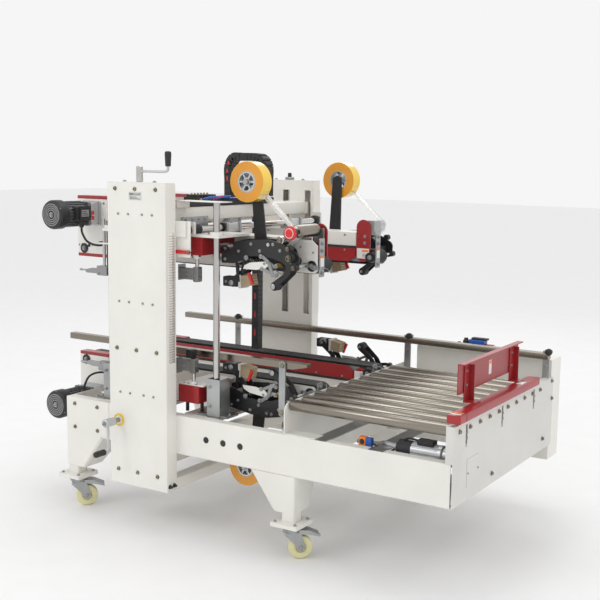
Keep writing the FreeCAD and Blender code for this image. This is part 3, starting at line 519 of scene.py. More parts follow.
def leg(shape, outer, inward):
    """A tapered box leg; inward is +1 where it leans to the right, -1 to the left."""
    front = BED_LOW.y

    def outline(size, grow=0):
        a, b = sorted((outer - inward * grow, outer + inward * (size[0] + grow)))
        return rounded(a, b, front - grow, front + size[1] + grow, 9)

    shape.prism("z", outline(LEG_FOOT), 180, BED_LOW.z, white, outline(LEG_TOP))
    shape.prism("z", outline((POST, POST)), 147, 180, white)
    centre = (outer + inward * POST / 2, front + POST / 2)
    half = FOOT_PLATE / 2
    shape.soft_box("z", (centre[0] - half, centre[0] + half), (centre[1] - half, centre[1] + half),
                   (131.5, 147), 6, white)
    for dx in (-43, 43):
        for dy in (-43, 43):
            shape.screw("z", (centre[0] + dx, centre[1] + dy), 147, 1, 5)


def legs():
    shape = Shape()
    left, right = BED_LOW.x, 834
    for shape.flip_y in (None, BED_MIDDLE):
        leg(shape, left, 1)
        leg(shape, right, -1)
    shape.flip_y = None
    shape.finish("tapered_legs", "frame", ["legs"], 1.2)


def castor(corner):
    """A swivel castor with two fork cheeks, a brake pedal and a urethane wheel."""
    low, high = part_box(f"castor_wheel_{corner}")
    hub = ((low + high) / 2 - DATUM) / MM
    trail = 34
    turn = Matrix.Rotation(math.radians(45), 4, "Z")
    swivel = hub - turn @ Vector((trail, 0, 0))
    place = Matrix.Translation((swivel.x, swivel.y, 0)) @ turn
    fork = Shape(place=place)
    fork.lathe("z", (0, 0), [(131, 0), (131, 33), (123, 35), (116, 31), (108, 31), (108, 0)], zinc, 36)
    fork.ring("z", (0, 0), (117, 121), 36, 30, cast)
    for side in (-1, 1):
        cheek = [(-26, 110), (-27, 96), (10, 60), (trail - 14, hub.z - 12), (trail + 2, hub.z - 15),
                 (trail + 15, hub.z - 2), (trail + 10, hub.z + 22), (30, 110)]
        a, b = sorted((side * 20, side * 24))
        fork.prism("y", cheek, a, b, zinc)
        fork.screw("y", (trail, hub.z), side * 24, side, 8)
    fork.soft_box("z", (-27, 31), (-24, 24), (104, 110), 6, zinc)
    pedal = [(24, 108), (60, 106), (104, 88), (105, 92), (62, 111), (24, 114)]
    fork.prism("y", pedal, -22, 22, cast)
    for rib in range(5):
        x = 62 + 9 * rib
        fork.box((x, x + 3), (-20, 20), (111 - 4.1 * rib - 3, 111 - 4.1 * rib), zinc)
    for side in (-1, 1):
        a, b = sorted((side * 22, side * 25))
        fork.prism("y", [(24, 98), (60, 96), (106, 84), (106, 92), (62, 112), (24, 115)], a, b, zinc)
    fork.finish(f"castor_fork_plate_{corner}", f"castor_fork_{corner}", [f"castor_fork_{corner}"], 0.8)
    wheel = Shape(place=place)
    tread = [(-16, 20), (-16, 37), (-14, 42), (-9, 44.6), (9, 44.6), (14, 42), (16, 37), (16, 20)]
    wheel.lathe("y", (trail, hub.z), tread, tyre, 48)
    wheel.lathe("y", (trail, hub.z), [(-14, 0), (-14, 10), (-17, 12), (-17, 17), (-12, 20), (-12, 33),
                                      (-15, 34)], tyre, 40)
    wheel.lathe("y", (trail, hub.z), [(15, 34), (12, 33), (12, 20), (17, 17), (17, 12), (14, 10),
                                      (14, 0)], tyre, 40)
    wheel.finish(f"castor_tyre_{corner}", f"castor_wheel_{corner}", [f"castor_wheel_{corner}"], 0.4)


# ---- roller table -----------------------------------------------------------------------------

ROLLER_NODES = sorted(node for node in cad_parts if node.startswith("roller_"))


def rollers():
    for node in ROLLER_NODES:
        low, high = station_box(node)
        centre = ((low.y + high.y) / 2, (low.z + high.z) / 2)
        radius = (high.z - low.z) / 2
        shape = Shape()
        left, right = low.x, high.x
        profile = [(left, 8), (left, radius - 3), (left + 1, radius - 3), (left + 1, radius - 0.6),
                   (left + 2, radius), (right - 2, radius), (right - 1, radius - 0.6),
                   (right - 1, radius - 3), (right, radius - 3), (right, 8), (left, 8)]
        shape.lathe("x", centre, profile, steel, 48)
        for face, out in ((left, -1), (right, 1)):
            shape.ring("x", centre, sorted((face, face + out * 0.8)), radius - 4, 8, matt_black, 32)
        shape.finish(f"{node}_tube", node, [node], 0)


END_SLOTS = (160, 480, 805)
TAB_LOW = 512


def end_panel(shape):
    """The panel at the open end, with three adjusting slots and an access cover."""
    right = TABLE_HIGH.x
    xs = (right - SHEET, right)
    front, back = TABLE_LOW.y, BED_HIGH.y
    top = 600
    # The whole end panel is drawn in the pale grey: painted shade on a white panel whose face is turned
    # from the lights.
    shape.box(xs, (front, back), (TABLE_LOW.z, TAB_LOW), pale)
    edges = [front] + [y + side * 7 for y in END_SLOTS for side in (-1, 1)] + [back]
    for a, b in zip(edges[::2], edges[1::2]):
        shape.box(xs, (a, b), (TAB_LOW, top - 10), pale)
    shape.box((right - 30, right), (front, back), (top - 10, top), pale)
    shape.box((right - 30, right - SHEET), (front, front + SHEET), (BED_HIGH.z, top - 10), pale)
    shape.soft_box("x", (170, 272), (365, 465), (right, right + 1.5), 5, pale)
    for y in (179, 263):
        shape.screw("x", (y, 415), right + 1.5, 1, 3)
    for y, z in ((396, 359), (923, 366), (1014, 515), (1007, 588)):
        shape.screw("x", (y, z), right, 1, 6.5, bolt_zinc)
    for node in ROLLER_NODES:
        low, high = station_box(node)
        shape.screw("x", ((low.y + high.y) / 2, 577), right, 1, 6.5, bolt_zinc)


def drive_motor(shape):
    """The small geared motor that lies under the first rollers, with its fan cap and lead."""
    y, z, radius = 150, 474, 27
    shape.lathe("x", (y, z), [(1205, 0), (1205, 22), (1212, radius + 3), (1262, radius + 3), (1262, 0)],
                matt_black, 36)
    shape.rod("x", (y, z), (1262, 1372), radius, aluminium, 36)
    for fin in range(22):
        angle = 2 * math.pi * fin / 22
        dy, dz = math.cos(angle), math.sin(angle)
        outline = [(y + dy * reach - dz * side, z + dz * reach + dy * side)
                   for reach, side in ((radius - 2, -1.2), (radius + 3.5, -1.2), (radius + 3.5, 1.2),
                                       (radius - 2, 1.2))]
        shape.prism("x", outline, 1266, 1366, aluminium)
    shape.lathe("x", (y, z), [(1366, 0), (1366, radius + 4), (1378, radius + 4), (1384, radius - 2),
                              (1404, radius - 2), (1404, 0)], aluminium, 36)
    shape.soft_box("x", (y - 30, y + 30), (z - 32, z + 34), (1404, 1444), 8, aluminium)
    for dy in (-22, 22):
        shape.screw("x", (y + dy, z + 24), 1404, -1, 4)
    shape.soft_box("x", (y - 18, y + 18), (z + 24, z + 42), (1285, 1345), 4, matt_black)
    shape.pipe([(1285, y, z + 34), (1240, y - 6, z + 36), (1190, y + 10, z - 10), (1110, y + 22, z - 60),
                (1010, y + 40, z - 80)], 4, matt_black)
    shape.pipe([(1205, y, z), (1150, y + 4, z + 4), (1090, y + 60, z - 22), (1000, y + 80, z - 30)], 9,
               aluminium)


def table():
    shape = Shape()
    end_panel(shape)
    left = TABLE_LOW.x
    front, back = TABLE_LOW.y, BED_HIGH.y
    top = 590
    inner, deck = front + SHEET + 0.5, BED_HIGH.z + 0.3
    corner = [(front, deck), (inner, deck), (inner, TABLE_LOW.z + SHEET),
              (2 * BED_MIDDLE - inner, TABLE_LOW.z + SHEET), (2 * BED_MIDDLE - inner, deck), (back, deck),
              (back, top), (front + 30, top), (front + 16, top - 5), (front + 5, top - 16),
              (front, top - 30)]
    shape.prism("x", corner, left, left + SHEET, white)
    for node in ROLLER_NODES:
        low, high = station_box(node)
        centre = ((low.y + high.y) / 2, (low.z + high.z) / 2)
        shape.rod("x", centre, (left - 5, high.x + 4), 6, zinc, 16)
        shape.screw("x", centre, left, -1, 5)
    for x in (900, 1130):
        shape.box((x, x + 60), (front + SHEET, back - SHEET), (470, 474), zinc)
        shape.box((x, x + SHEET), (front + SHEET, back - SHEET), (440, 470), zinc)
    shape.box((left, left + 130), (front + SHEET, front + 64), (473, 477), white)
    drive_motor(shape)
    shape.finish("roller_table_panels", "frame", ["table_frame"], 0.7)


def photo_sensor():
    shape = Shape()
    shape.soft_box("x", (108, 132), (466, 500), (1070, 1096), 3, orange)
    shape.soft_box("x", (110, 130), (468, 498), (1096, 1118), 3, blue)
    shape.lathe("y", (1083, 484), [(104, 0), (104, 8), (108, 10), (108, 0)], matt_black, 20)
    shape.box((1060, 1128), (112, 130), (460, 466), zinc)
    shape.pipe([(1118, 120, 480), (1140, 122, 470), (1150, 150, 440), (1120, 200, 430)], 3, matt_black)
    shape.finish("photo_sensor", "frame", bevel=0.6)


def guard():
    """The red guard tube with its slotted tabs, posts and folded stop plate."""
    low, high = station_box("table_guard")
    shape = Shape()
    left, right = 1426, high.x
    shape.soft_box("y", (left, right), (611, 640), (60, 108), 3, red)
    shape.soft_box("y", (left + 1, right - 1), (612, 639), (108, 112), 2, matt_black)
    shape.soft_box("y", (left, right), (611, 640), (112, 806), 3, red)
    for y in END_SLOTS:
        shape.soft_box("x", (y - 12, y + 12), (586, 614), (1450.5, 1454.5), 3, red)
        shape.box((1450.5, 1453), (y - 7, y + 7), (522, 588), matt_black)
        for z in (543, 563):
            shape.screw("x", (y, z), 1453, 1, 6)
    ys, zs = (202, 759), (673, 782)
    face = low.x
    shape.box((face, face + 4), ys, zs, red)
    shape.box((face + 4, face + 24), ys, (zs[1] - 4, zs[1]), red)
    for y in (270, 690):
        shape.box((face + 4.2, face + 8), (y - 23, y + 23), (640, zs[1] - 4.4), red)
        shape.box((face + 8, face + 26), (y + 19, y + 23), (636, zs[1] - 14), red)
        shape.box((face + 4.2, left + 20), (y - 23, y + 23), (640, 644), red)
        for z in (700, 750):
            shape.screw("x", (y - 8, z), face + 8, 1, 4, zinc)
    for y, tint in ((76, label), (96, orange)):
        shape.box((left + 8, right - 8), (y, y + 12), (640, 640.5), tint)
    shape.box((left + 14, right - 10), (640, 690), (640, 640.5), label)
    shape.box((face + 4, face + 4.6), (470, 494), (700, 752), label)
    shape.box((face + 4, face + 4.7), (472, 492), (738, 750), orange)
    shape.finish("guard_tube_and_stop", "table_guard", ["table_guard"], 0.8)


# ---- belt units -------------------------------------------------------------------------------

UNITS = {"upper_near": "near_upper", "lower_near": "near_lower", "upper_far": "gantry",
         "lower_far": "frame"}
UNIT_FRONT, UNIT_BACK = 315, 421
UNIT_TOP = BELT_LOW.z + 131
SHAFT_HEIGHT = BELT_LOW.z + 156
SHAFT_XS = (-20, 310)


def unit_shape(unit):
    """A shape mirrored so that the near upper unit's stations build any of the four units."""
    return Shape(flip_y=LANE_MIDDLE if unit.endswith("far") else None,
                 flip_z=BELT_MIDDLE if unit.startswith("lower") else None)


def drive_box(shape, left, right):
    """The tall white box at the drive end, edged in red."""
    front, back = UNIT_FRONT - 1, UNIT_FRONT + 40
    top = BELT_LOW.z + 258
    shape.soft_box("y", (left, right), (BELT_LOW.z + 10, top - 14), (front, back), 4, white)
    shape.soft_box("y", (left, right), (top - 14, top), (front, back + 20), 3, red)
    shape.soft_box("y", (left, right), (BELT_LOW.z - 4, BELT_LOW.z + 10), (front, back), 3, red)
    for step, radius in enumerate((5, 8, 5, 8, 3)):
        plug = [(front - 3, 0), (front - 3, radius * 0.6), (front, radius), (front + 1, radius),
                (front + 1, 0)]
        shape.lathe("y", (left + 6 + 19 * step, BELT_LOW.z + 44), plug, black if radius == 8 else zinc, 20)
    for x in (left + 14, right - 14):
        shape.screw("y", (x, top - 30), front, -1, 4)


def pulley(shape, x, radius):
    z = (BELT_LOW.z + BELT_HIGH.z) / 2
    profile = [(328, 0), (328, radius - 2), (331, radius), (405, radius), (408, radius - 2), (408, 0)]
    shape.lathe("y", (x, z), profile, cast, 40)
    for face, out in ((UNIT_FRONT, -1), (UNIT_BACK, 1)):
        a, b = sorted((face, face + out * 5))
        shape.lathe("y", (x, z), [(a, 0), (a, 21), (b, 21), (b, 0)], black, 32)
        shape.screw("y", (x, z), face + out * 5, out, 7)


def hanger(shape, x):
    """The bearing block on a cross shaft, with its strap down to the unit."""
    half = 25
    shape.soft_box("y", (x - half, x + half), (UNIT_TOP, SHAFT_HEIGHT + 20),
                   (UNIT_FRONT + 5, UNIT_FRONT + 17), 5, zinc)
    shape.soft_box("y", (x - half, x + half), (UNIT_TOP, SHAFT_HEIGHT + 20),
                   (UNIT_BACK - 17, UNIT_BACK - 5), 5, zinc)
    shape.soft_box("y", (x - 20, x + 20), (SHAFT_HEIGHT - 20, SHAFT_HEIGHT + 18),
                   (UNIT_FRONT + 17, UNIT_BACK - 17), 6, aluminium)
    shape.ring("y", (x, SHAFT_HEIGHT), (UNIT_FRONT + 1, UNIT_FRONT + 5), 19, 13, matt_black, 32)
    for dx in (-17, 17):
        shape.screw("y", (x + dx, UNIT_TOP + 10), UNIT_FRONT + 5, -1, 4)
        shape.screw("z", (x + dx / 1.4, UNIT_FRONT + 50), SHAFT_HEIGHT + 18, 1, 4)


def lane_cover(shape, right):
    """What faces the carton: white top rail, black seal strip and red cover over the belt's core."""
    faces = (UNIT_BACK - SHEET, UNIT_BACK)
    left = -466
    shape.soft_box("x", faces, (BELT_LOW.z + 75, UNIT_TOP), (left, right), 1, white)
    shape.box((left, right), (UNIT_BACK - 2, UNIT_BACK + 2.5), (BELT_LOW.z + 65, BELT_LOW.z + 75),
              matt_black)
    slant = [(left, BELT_LOW.z + 8), (right - 30, BELT_LOW.z + 8), (right, BELT_LOW.z + 30),
             (right, BELT_LOW.z + 65), (left, BELT_LOW.z + 65)]
    shape.prism("y", slant, UNIT_BACK - 3, UNIT_BACK + 1.5, red)
    for step in range(9):
        shape.screw("y", (left + 40 + 130 * step, BELT_LOW.z + 56), UNIT_BACK + 1.5, 1, 3.2)
        shape.screw("y", (left + 40 + 130 * step, UNIT_TOP - 12), UNIT_BACK, 1, 3.6)


def side_plate(shape, near):
    """The outer plate with its screws, and near the lane's end its folded flange with screws and two zinc
    pads.
    """
    left, right = -298, 667
    low = BELT_LOW.z + 6
    shape.box((left, right), (UNIT_FRONT, UNIT_FRONT + SHEET), (low, UNIT_TOP), white)
    for step in range(7):
        shape.screw("y", (-250 + 140 * step, BELT_LOW.z + 31), UNIT_FRONT, -1, 6)
        shape.screw("y", (-250 + 140 * step, UNIT_TOP - 14), UNIT_FRONT, -1, 3.6)
    if not near:
        return
    end = [(right - 10, low - 2), (752, low - 2), (762, low + 8), (762, UNIT_TOP - 22), (736, UNIT_TOP - 2),
           (right - 10, UNIT_TOP - 2)]
    shape.prism("y", end, UNIT_FRONT - 3, UNIT_FRONT - 0.5, white)
    for x, z in ((686, UNIT_TOP - 30), (742, UNIT_TOP - 48)):
        shape.screw("y", (x, z), UNIT_FRONT - 3, -1, 3)
    for x, z in ((712, low + 26), (752, low + 20)):
        shape.soft_box("y", (x - 14, x + 14), (z - 8, z + 8), (UNIT_FRONT - 7, UNIT_FRONT - 3), 3, zinc)
        shape.screw("y", (x, z), UNIT_FRONT - 7, -1, 7)


def end_strip(shape, ys):
    """The zinc strip across the unit's end, with its blank labels."""
    low = BELT_LOW.z
    xs = (764, 768)
    shape.soft_box("x", ys, (low - 10, low + 136), xs, 4, zinc)
    y = (ys[0] + ys[1]) / 2
    shape.box((768, 768.6), (y - 12, y + 12), (low + 30, low + 62), label)
    shape.box((768, 768.8), (y - 12, y + 12), (low + 62, low + 72), orange)
    for z in (low + 6, low + 90, low + 118):
        shape.screw("x", (y, z), 768, 1, 6)


def belt_unit(unit):
    body = UNITS[unit]
    shape = unit_shape(unit)
    near = unit.endswith("near")
    left, right = -466, 774
    side_plate(shape, near)
    shape.box((-298, 667), (UNIT_FRONT + SHEET, UNIT_BACK - SHEET), (UNIT_TOP - SHEET, UNIT_TOP - 0.4),
              white)
    shape.box((left + 60, right - 80), (UNIT_FRONT + 8, UNIT_BACK - 8), (BELT_LOW.z + 10, BELT_LOW.z + 52),
              cast)
    lane_cover(shape, right - 107)
    for x in (-429, 737):
        pulley(shape, x, 25.5)
    drive_box(shape, left, -300)
    for x in SHAFT_XS:
        hanger(shape, x)
    end_cap(shape, near)
    end_strip(shape, (318, 352) if near else (392, 426))
    if near:
        carriage(shape, unit)
    name = f"belt_unit_{unit}"
    if unit == "lower_near":
        shape.flip_z = None
        posts(shape)
    shape.finish(f"{name}_casing", body, [name], 0.7)
    belt(unit, body)


def end_cap(shape, near):
    """The red round-ended cap and the guide roller where the tape enters the lane."""
    low = BELT_LOW.z + 11
    ys = (UNIT_BACK - 2, UNIT_BACK + 4)
    shape.prism("y", stadium_upright(672, 737, low, low + 175), ys[0], ys[1], red)
    for z in (low + 78, low + 106):
        shape.screw("y", (712, z), ys[1], 1, 5)
    shape.box((676, 733), (ys[1], ys[1] + 0.6), (low + 14, low + 56), label)
    shape.box((700, 731), (ys[1] + 0.6, ys[1] + 0.9), (low + 42, low + 50), orange)
    for line in range(3):
        shape.box((702, 729 - 5 * line), (ys[1] + 0.6, ys[1] + 0.9),
                  (low + 20 + 6 * line, low + 22 + 6 * line), ink)
    if not near:
        shape.soft_box("y", (706, 752), (low + 112, low + 172), (UNIT_BACK - 60, UNIT_BACK - 3), 5, zinc)
    shape.lathe("y", (682, low + 144), guide_roller_profile(232, 358), chrome, 40)
    shape.rod("y", (682, low + 144), (224, UNIT_BACK - 30), 7, zinc, 20)
    shape.pipe([(748, UNIT_BACK - 40, low + 2), (770, UNIT_BACK - 44, low - 6),
                (778, UNIT_BACK - 60, low + 6), (772, UNIT_BACK - 80, low + 14)], 1.4, zinc, 8)


def guide_roller_profile(front, back):
    """Two flanged ends and a bright drum."""
    return [(front, 0), (front, 12), (front + 1, 14), (front + 2, 22), (front + 4, 25), (back - 4, 25),
            (back - 2, 22), (back - 1, 14), (back, 12), (back, 0)]


def stadium_upright(left, right, low, high, steps=12):
    """A plate outline with a full round at each end, standing upright."""
    radius = (right - left) / 2
    centre = (left + right) / 2
    outline = []
    for z, start in ((high - radius, 0), (low + radius, 180)):
        for step in range(steps + 1):
            angle = math.radians(start + 180 * step / steps)
            outline.append((centre + radius * math.cos(angle), z + radius * math.sin(angle)))
    return outline


def belt(unit, body):
    """The flat belt, a loop round two pulleys with a ribbed face."""
    shape = unit_shape(unit)
    low, high = BELT_LOW, BELT_HIGH
    centre = (low.z + high.z) / 2
    radius = (high.z - low.z) / 2
    outer = stadium(low.x + radius, high.x - radius, centre, radius)
    inner = stadium(low.x + radius, high.x - radius, centre, radius - 5)
    count = len(outer)
    points = []
    for y in (low.y, high.y):
        for x, z in outer + inner:
            points.append((x, y, z))
    faces = []
    for i in range(count):
        j = (i + 1) % count
        a, b = 0, 2 * count
        faces.append((a + i, a + j, b + j, b + i))
        faces.append((a + count + j, a + count + i, b + count + i, b + count + j))
        faces.append((a + j, a + i, a + count + i, a + count + j))
        faces.append((b + i, b + j, b + count + j, b + count + i))
    shape.emit(points, faces, rubber)
    shape.finish(f"drive_belt_{unit}_loop", body, [f"drive_belt_{unit}"], 0.6, "rubber")


def stadium(left, right, centre, radius, steps=16):
    outline = []
    for x, start in ((right, -90), (left, 90)):
        for step in range(steps + 1):
            angle = math.radians(start + 180 * step / steps)
            outline.append((x + radius * math.cos(angle), centre + radius * math.sin(angle)))
    return outline


def gearmotor(unit):
    """A fan-cooled motor with fins, terminal box, gearhead and lead."""
    shape = unit_shape(unit)
    x, z = -381, BELT_LOW.z + 185
    front = 80
    fan = [(front + 3, 0), (front + 3, 12), (front, 16), (front, 52), (front + 3, 57), (front + 9, 60),
           (front + 46, 60), (front + 50, 57), (front + 50, 0)]
    shape.lathe("y", (x, z), fan, black, 48)
    for radius in (20, 28, 36, 44):
        shape.ring("y", (x, z), (front - 2.5, front + 1), radius + 1.8, radius - 1.8, cast, 40)
    shape.screw("y", (x, z), front, -1, 8)
    for step in range(3):
        angle = math.radians(30 + 120 * step)
        shape.screw("y", (x + 54 * math.cos(angle), z + 54 * math.sin(angle)), front + 5, -1, 3)
    shape.rod("y", (x, z), (front + 50, 262), 49, motor_paint, 40)
    for fin in range(26):
        angle = 2 * math.pi * fin / 26
        dx, dz = math.cos(angle), math.sin(angle)
        foot, tip, half = 47, 54, 1.4
        outline = [(x + dx * foot - dz * half, z + dz * foot + dx * half),
                   (x + dx * foot + dz * half, z + dz * foot - dx * half),
                   (x + dx * tip + dz * half, z + dz * tip - dx * half),
                   (x + dx * tip - dz * half, z + dz * tip + dx * half)]
        shape.prism("y", outline, front + 52, 240, motor_paint)
    shape.soft_box("y", (x - 50, x + 50), (z - 50, z + 50), (240, 256), 8, motor_paint)
    shape.soft_box("y", (x - 47, x + 47), (z - 47, z + 47), (256, 303), 6, aluminium)
    shape.soft_box("y", (x - 52, x + 52), (z - 52, z + 52), (303, 315), 6, aluminium)
    for dx in (-42, 42):
        for dz in (-42, 42):
            shape.screw("y", (x + dx, z + dz), 303, -1, 5)
    for drop in (-26, -4):
        shape.box((x + 47, x + 47.6), (262, 276), (z + drop, z + drop + 16), bright_red)
    shape.soft_box("x", (158, 228), (z - 26, z + 34), (x + 42, x + 74), 6, matt_black)
    shape.soft_box("x", (162, 224), (z - 22, z + 30), (x + 74, x + 80), 5, black)
    shape.box((x + 80, x + 80.5), (170, 212), (z - 8, z + 20), zinc)
    for line in range(3):
        shape.box((x + 80.5, x + 80.7), (174, 208 - 6 * line), (z - 3 + 7 * line, z + 7 * line), ink)
    shape.lathe("z", (x + 58, 190), [(z - 54, 0), (z - 54, 8), (z - 44, 12), (z - 42, 15), (z - 26, 15),
                                     (z - 26, 0)],
                matt_black, 20)
    shape.finish(f"gearmotor_{unit}_casing", UNITS[unit], [f"gearmotor_{unit}"], 0.8)
    lead = unit_shape(unit)
    down = z - 52
    lead.pipe([(x + 58, 190, down), (x + 60, 192, down - 26), (x + 78, 205, down - 62),
               (x + 116, 232, down - 76), (x + 160, 268, down - 60), (x + 196, 300, down - 36),
               (x + 214, 318, down - 30)], 4.6, matt_black)
    lead.finish(f"gearmotor_{unit}_lead", UNITS[unit], bevel=0)


# ---- tape heads -------------------------------------------------------------------------------

HEAD_FRONT, HEAD_BACK = 222, 288
ROLL_X = 495
ROLL_HEIGHT = BELT_LOW.z + 341
PIVOT_HEIGHT = BELT_LOW.z + 55
ARM_PIVOTS = {"applying": (700, 84), "wiping": (500, 78)}


ARM_FOOT = {"near": 23, "far": -8}


def head_plates(shape, base):
    """The full back plate and the bridged front plate, with screws and spacers."""
    outline = [(386, base + 30), (382, base + 93), (400, base + 106), (450, base + 119), (520, base + 127),
               (600, base + 127), (650, base + 116), (684, base + 92), (692, base + 70), (690, base + 18),
               (676, base + 10), (560, base + 6), (470, base + 14), (410, base + 20)]
    shape.prism("y", outline, HEAD_BACK - 5, HEAD_BACK, black)
    bridge = [(382, base + 28), (380, base + 90), (388, base + 100), (446, base + 112), (520, base + 124),
              (600, base + 129), (664, base + 116), (728, base + 84), (738, base + 68), (736, base + 26),
              (722, base + 18), (690, base + 22), (664, base + 46), (616, base + 60), (560, base + 64),
              (500, base + 60), (470, base + 40), (440, base + 30)]
    shape.prism("y", bridge, HEAD_FRONT, HEAD_FRONT + 5, black)
    for x, z in ((398, 44), (398, 86), (430, 98), (462, 78), (520, 108), (560, 84), (620, 112), (652, 90),
                 (700, 74)):
        shape.screw("y", (x, base + z), HEAD_FRONT, -1, 4.5)
    for x, z in ((425, 92), (600, 110), (724, 34)):
        shape.rod("y", (x, base + z), (HEAD_FRONT - 4, HEAD_BACK + 4), 7, chrome, 24)
    for x, z in ((425, 92), (724, 34)):
        shape.rod("y", (x, base + z), (HEAD_BACK, UNIT_FRONT), 8, zinc, 24)
    for x, z, radius in ((702, 101, 12), (707, 66, 18), (728, 32, 12)):
        drum = [(HEAD_FRONT - 26, 0), (HEAD_FRONT - 26, radius * 0.5), (HEAD_FRONT - 22, radius * 0.5),
                (HEAD_FRONT - 22, radius), (HEAD_FRONT, radius), (HEAD_FRONT, 0)]
        shape.lathe("y", (x, base + z), drum, matt_black, 32)
        shape.screw("y", (x, base + z), HEAD_FRONT - 26, -1, radius * 0.5, bolt_zinc)


def roll_arm(shape, base, foot):
    """The flat black arm that stands on the head and holds the tape roll's spindle."""
    top = 22
    arm = [(ROLL_X - top, ROLL_HEIGHT - 4), (ROLL_X - 18, ROLL_HEIGHT + 12), (ROLL_X, ROLL_HEIGHT + 20),
           (ROLL_X + 18, ROLL_HEIGHT + 12), (ROLL_X + top, ROLL_HEIGHT - 4),
           (ROLL_X + foot + 28, base + 112), (ROLL_X + foot - 28, base + 112)]
    shape.prism("y", arm, HEAD_BACK, HEAD_BACK + 6, black)
    shape.rod("y", (ROLL_X, ROLL_HEIGHT), (HEAD_FRONT - 2, HEAD_BACK), 9.5, zinc, 24)
    shape.lathe("y", (ROLL_X, ROLL_HEIGHT),
                [(HEAD_FRONT - 10, 0), (HEAD_FRONT - 10, 9), (HEAD_FRONT - 7, 12),
                 (HEAD_FRONT + 1, 12), (HEAD_FRONT + 1, 0)], zinc, 6)
    for dx in (-14, 14):
        shape.screw("y", (ROLL_X + foot + dx, base + 120), HEAD_BACK + 6, 1, 4)


def tape_head(unit):
    """The black side plates, tape rollers, brush, blade, springs and roll arm."""
    shape = unit_shape(unit)
    base = BELT_LOW.z
    head_plates(shape, base)
    for pivot, _ in ARM_PIVOTS.values():
        shape.rod("y", (pivot, PIVOT_HEIGHT), (HEAD_FRONT - 3, HEAD_BACK + 3), 6, chrome, 24)
        shape.screw("y", (pivot, PIVOT_HEIGHT), HEAD_FRONT - 3, -1, 7)
    roll_arm(shape, base, ARM_FOOT[unit.split("_")[1]])
    for x, z, radius, material in ((540, 96, 10, steel), (590, 84, 11, chrome), (640, 34, 8.5, brass),
                                   (665, 92, 9, steel), (462, 44, 12, cast)):
        shape.lathe("y", (x, base + z), [(224, 0), (224, radius - 1), (226, radius), (278, radius),
                                         (280, radius - 1), (280, 0)], material, 32)
    shape.prism("y", [(488, base + 12), (494, base + 26), (520, base + 38), (560, base + 43),
                      (608, base + 48), (611, base + 38), (590, base + 20), (548, base + 12)], 216, 219,
                white)
    shape.screw("y", (586, base + 38), 216, -1, 4)
    for line, face in ((((566, 62), (578, 70), (636, 30), (628, 22)), 217),
                       (((600, 44), (613, 48), (634, -6), (620, -10)), 213),
                       (((572, 16), (582, 24), (640, -2), (634, -12)), 217)):
        shape.prism("y", [(x, base + z) for x, z in line], face, face + 3, cast)
        for x, z in (line[0], line[2]):
            shape.screw("y", (x + 3, base + z + 2), face, -1, 6)
    shape.prism("y", [(446, base + 30), (460, base + 30), (466, base - 40), (452, base - 42)], 224, 230,
                black)
    shape.soft_box("y", (384, 452), (base - 62, base - 24), (228, 262), 4, matt_black)
    shape.screw("y", (398, base - 44), 228, -1, 4)
    shape.prism("y", [(466, base - 18), (508, base - 10), (516, base - 52), (468, base - 62)], 228, 278,
                brush)
    shape.prism("y", [(458, base - 14), (468, base - 14), (470, base - 66), (458, base - 66)], 226, 280,
                pale)
    shape.prism("y", [(500, base - 4), (510, base - 2), (528, base - 44), (517, base - 48)], 226, 234,
                bright_red)
    shape.rod("y", (416, base + 100), (150, HEAD_FRONT), 8, chrome, 28)
    shape.rod("y", (416, base + 100), (146, 150), 5, zinc, 20)
    for shift in (232, 272):
        spring(shape, (470, shift, base + 66), (600, shift, base + 10), 5)
        shape.pipe([(600, shift, base + 10), (628, shift, base - 6)], 2.4, zinc, 10, 2)
    shape.finish(f"tape_head_{unit}_plates", UNITS[unit], [f"tape_head_{unit}"], 0.5)


def spring(shape, start, end, radius, turns=13):
    start, end = Vector(start), Vector(end)
    along = end - start
    side = Vector((0, 1, 0))
    other = along.normalized().cross(side)
    points = [start]
    for step in range(turns * 6 + 1):
        angle = 2 * math.pi * step / 6
        points.append(start + along * (0.12 + 0.76 * step / (turns * 6))
                      + radius * (math.cos(angle) * side + math.sin(angle) * other))
    shape.pipe(points + [end], 1.1, zinc, 6, 1)


def swing_arm(unit, kind):
    """A forked arm with a hub on its pivot and a rubber or steel roller at its end."""
    pivot, back = ARM_PIVOTS[kind]
    shape = unit_shape(unit)
    end = (pivot - back, PIVOT_HEIGHT - 103)
    first, last = HEAD_FRONT + 9, HEAD_BACK - 9
    bar = [(pivot - 12, PIVOT_HEIGHT + 6), (pivot + 8, PIVOT_HEIGHT + 10), (pivot + 13, PIVOT_HEIGHT - 8),
           (pivot - 14, PIVOT_HEIGHT - 56), (end[0] + 11, end[1] - 6), (end[0] + 2, end[1] - 12),
           (end[0] - 10, end[1] - 4), (end[0] - 8, end[1] + 12), (pivot - 36, PIVOT_HEIGHT - 52)]
    for y in (first, last - 4):
        shape.prism("y", bar, y, y + 4, black)
    shape.ring("y", (pivot, PIVOT_HEIGHT), (first, last), 13, 6.1, black, 32)
    shape.rod("y", end, (first - 2, last + 2), 6, zinc, 20)
    roller = [(first + 6, 0), (first + 6, 14), (first + 8, 17), (last - 8, 17), (last - 6, 14),
              (last - 6, 0)]
    shape.lathe("y", end, roller, matt_black if kind == "applying" else cast, 36)
    shape.lathe("y", end, [(first - 6, 0), (first - 6, 7), (first - 4, 11), (first - 2, 11),
                           (first - 2, 0)], zinc, 24)
    shape.finish(f"{kind}_arm_{unit}_fork", f"{kind}_arm_{unit}", [f"{kind}_arm_{unit}"], 0.6)


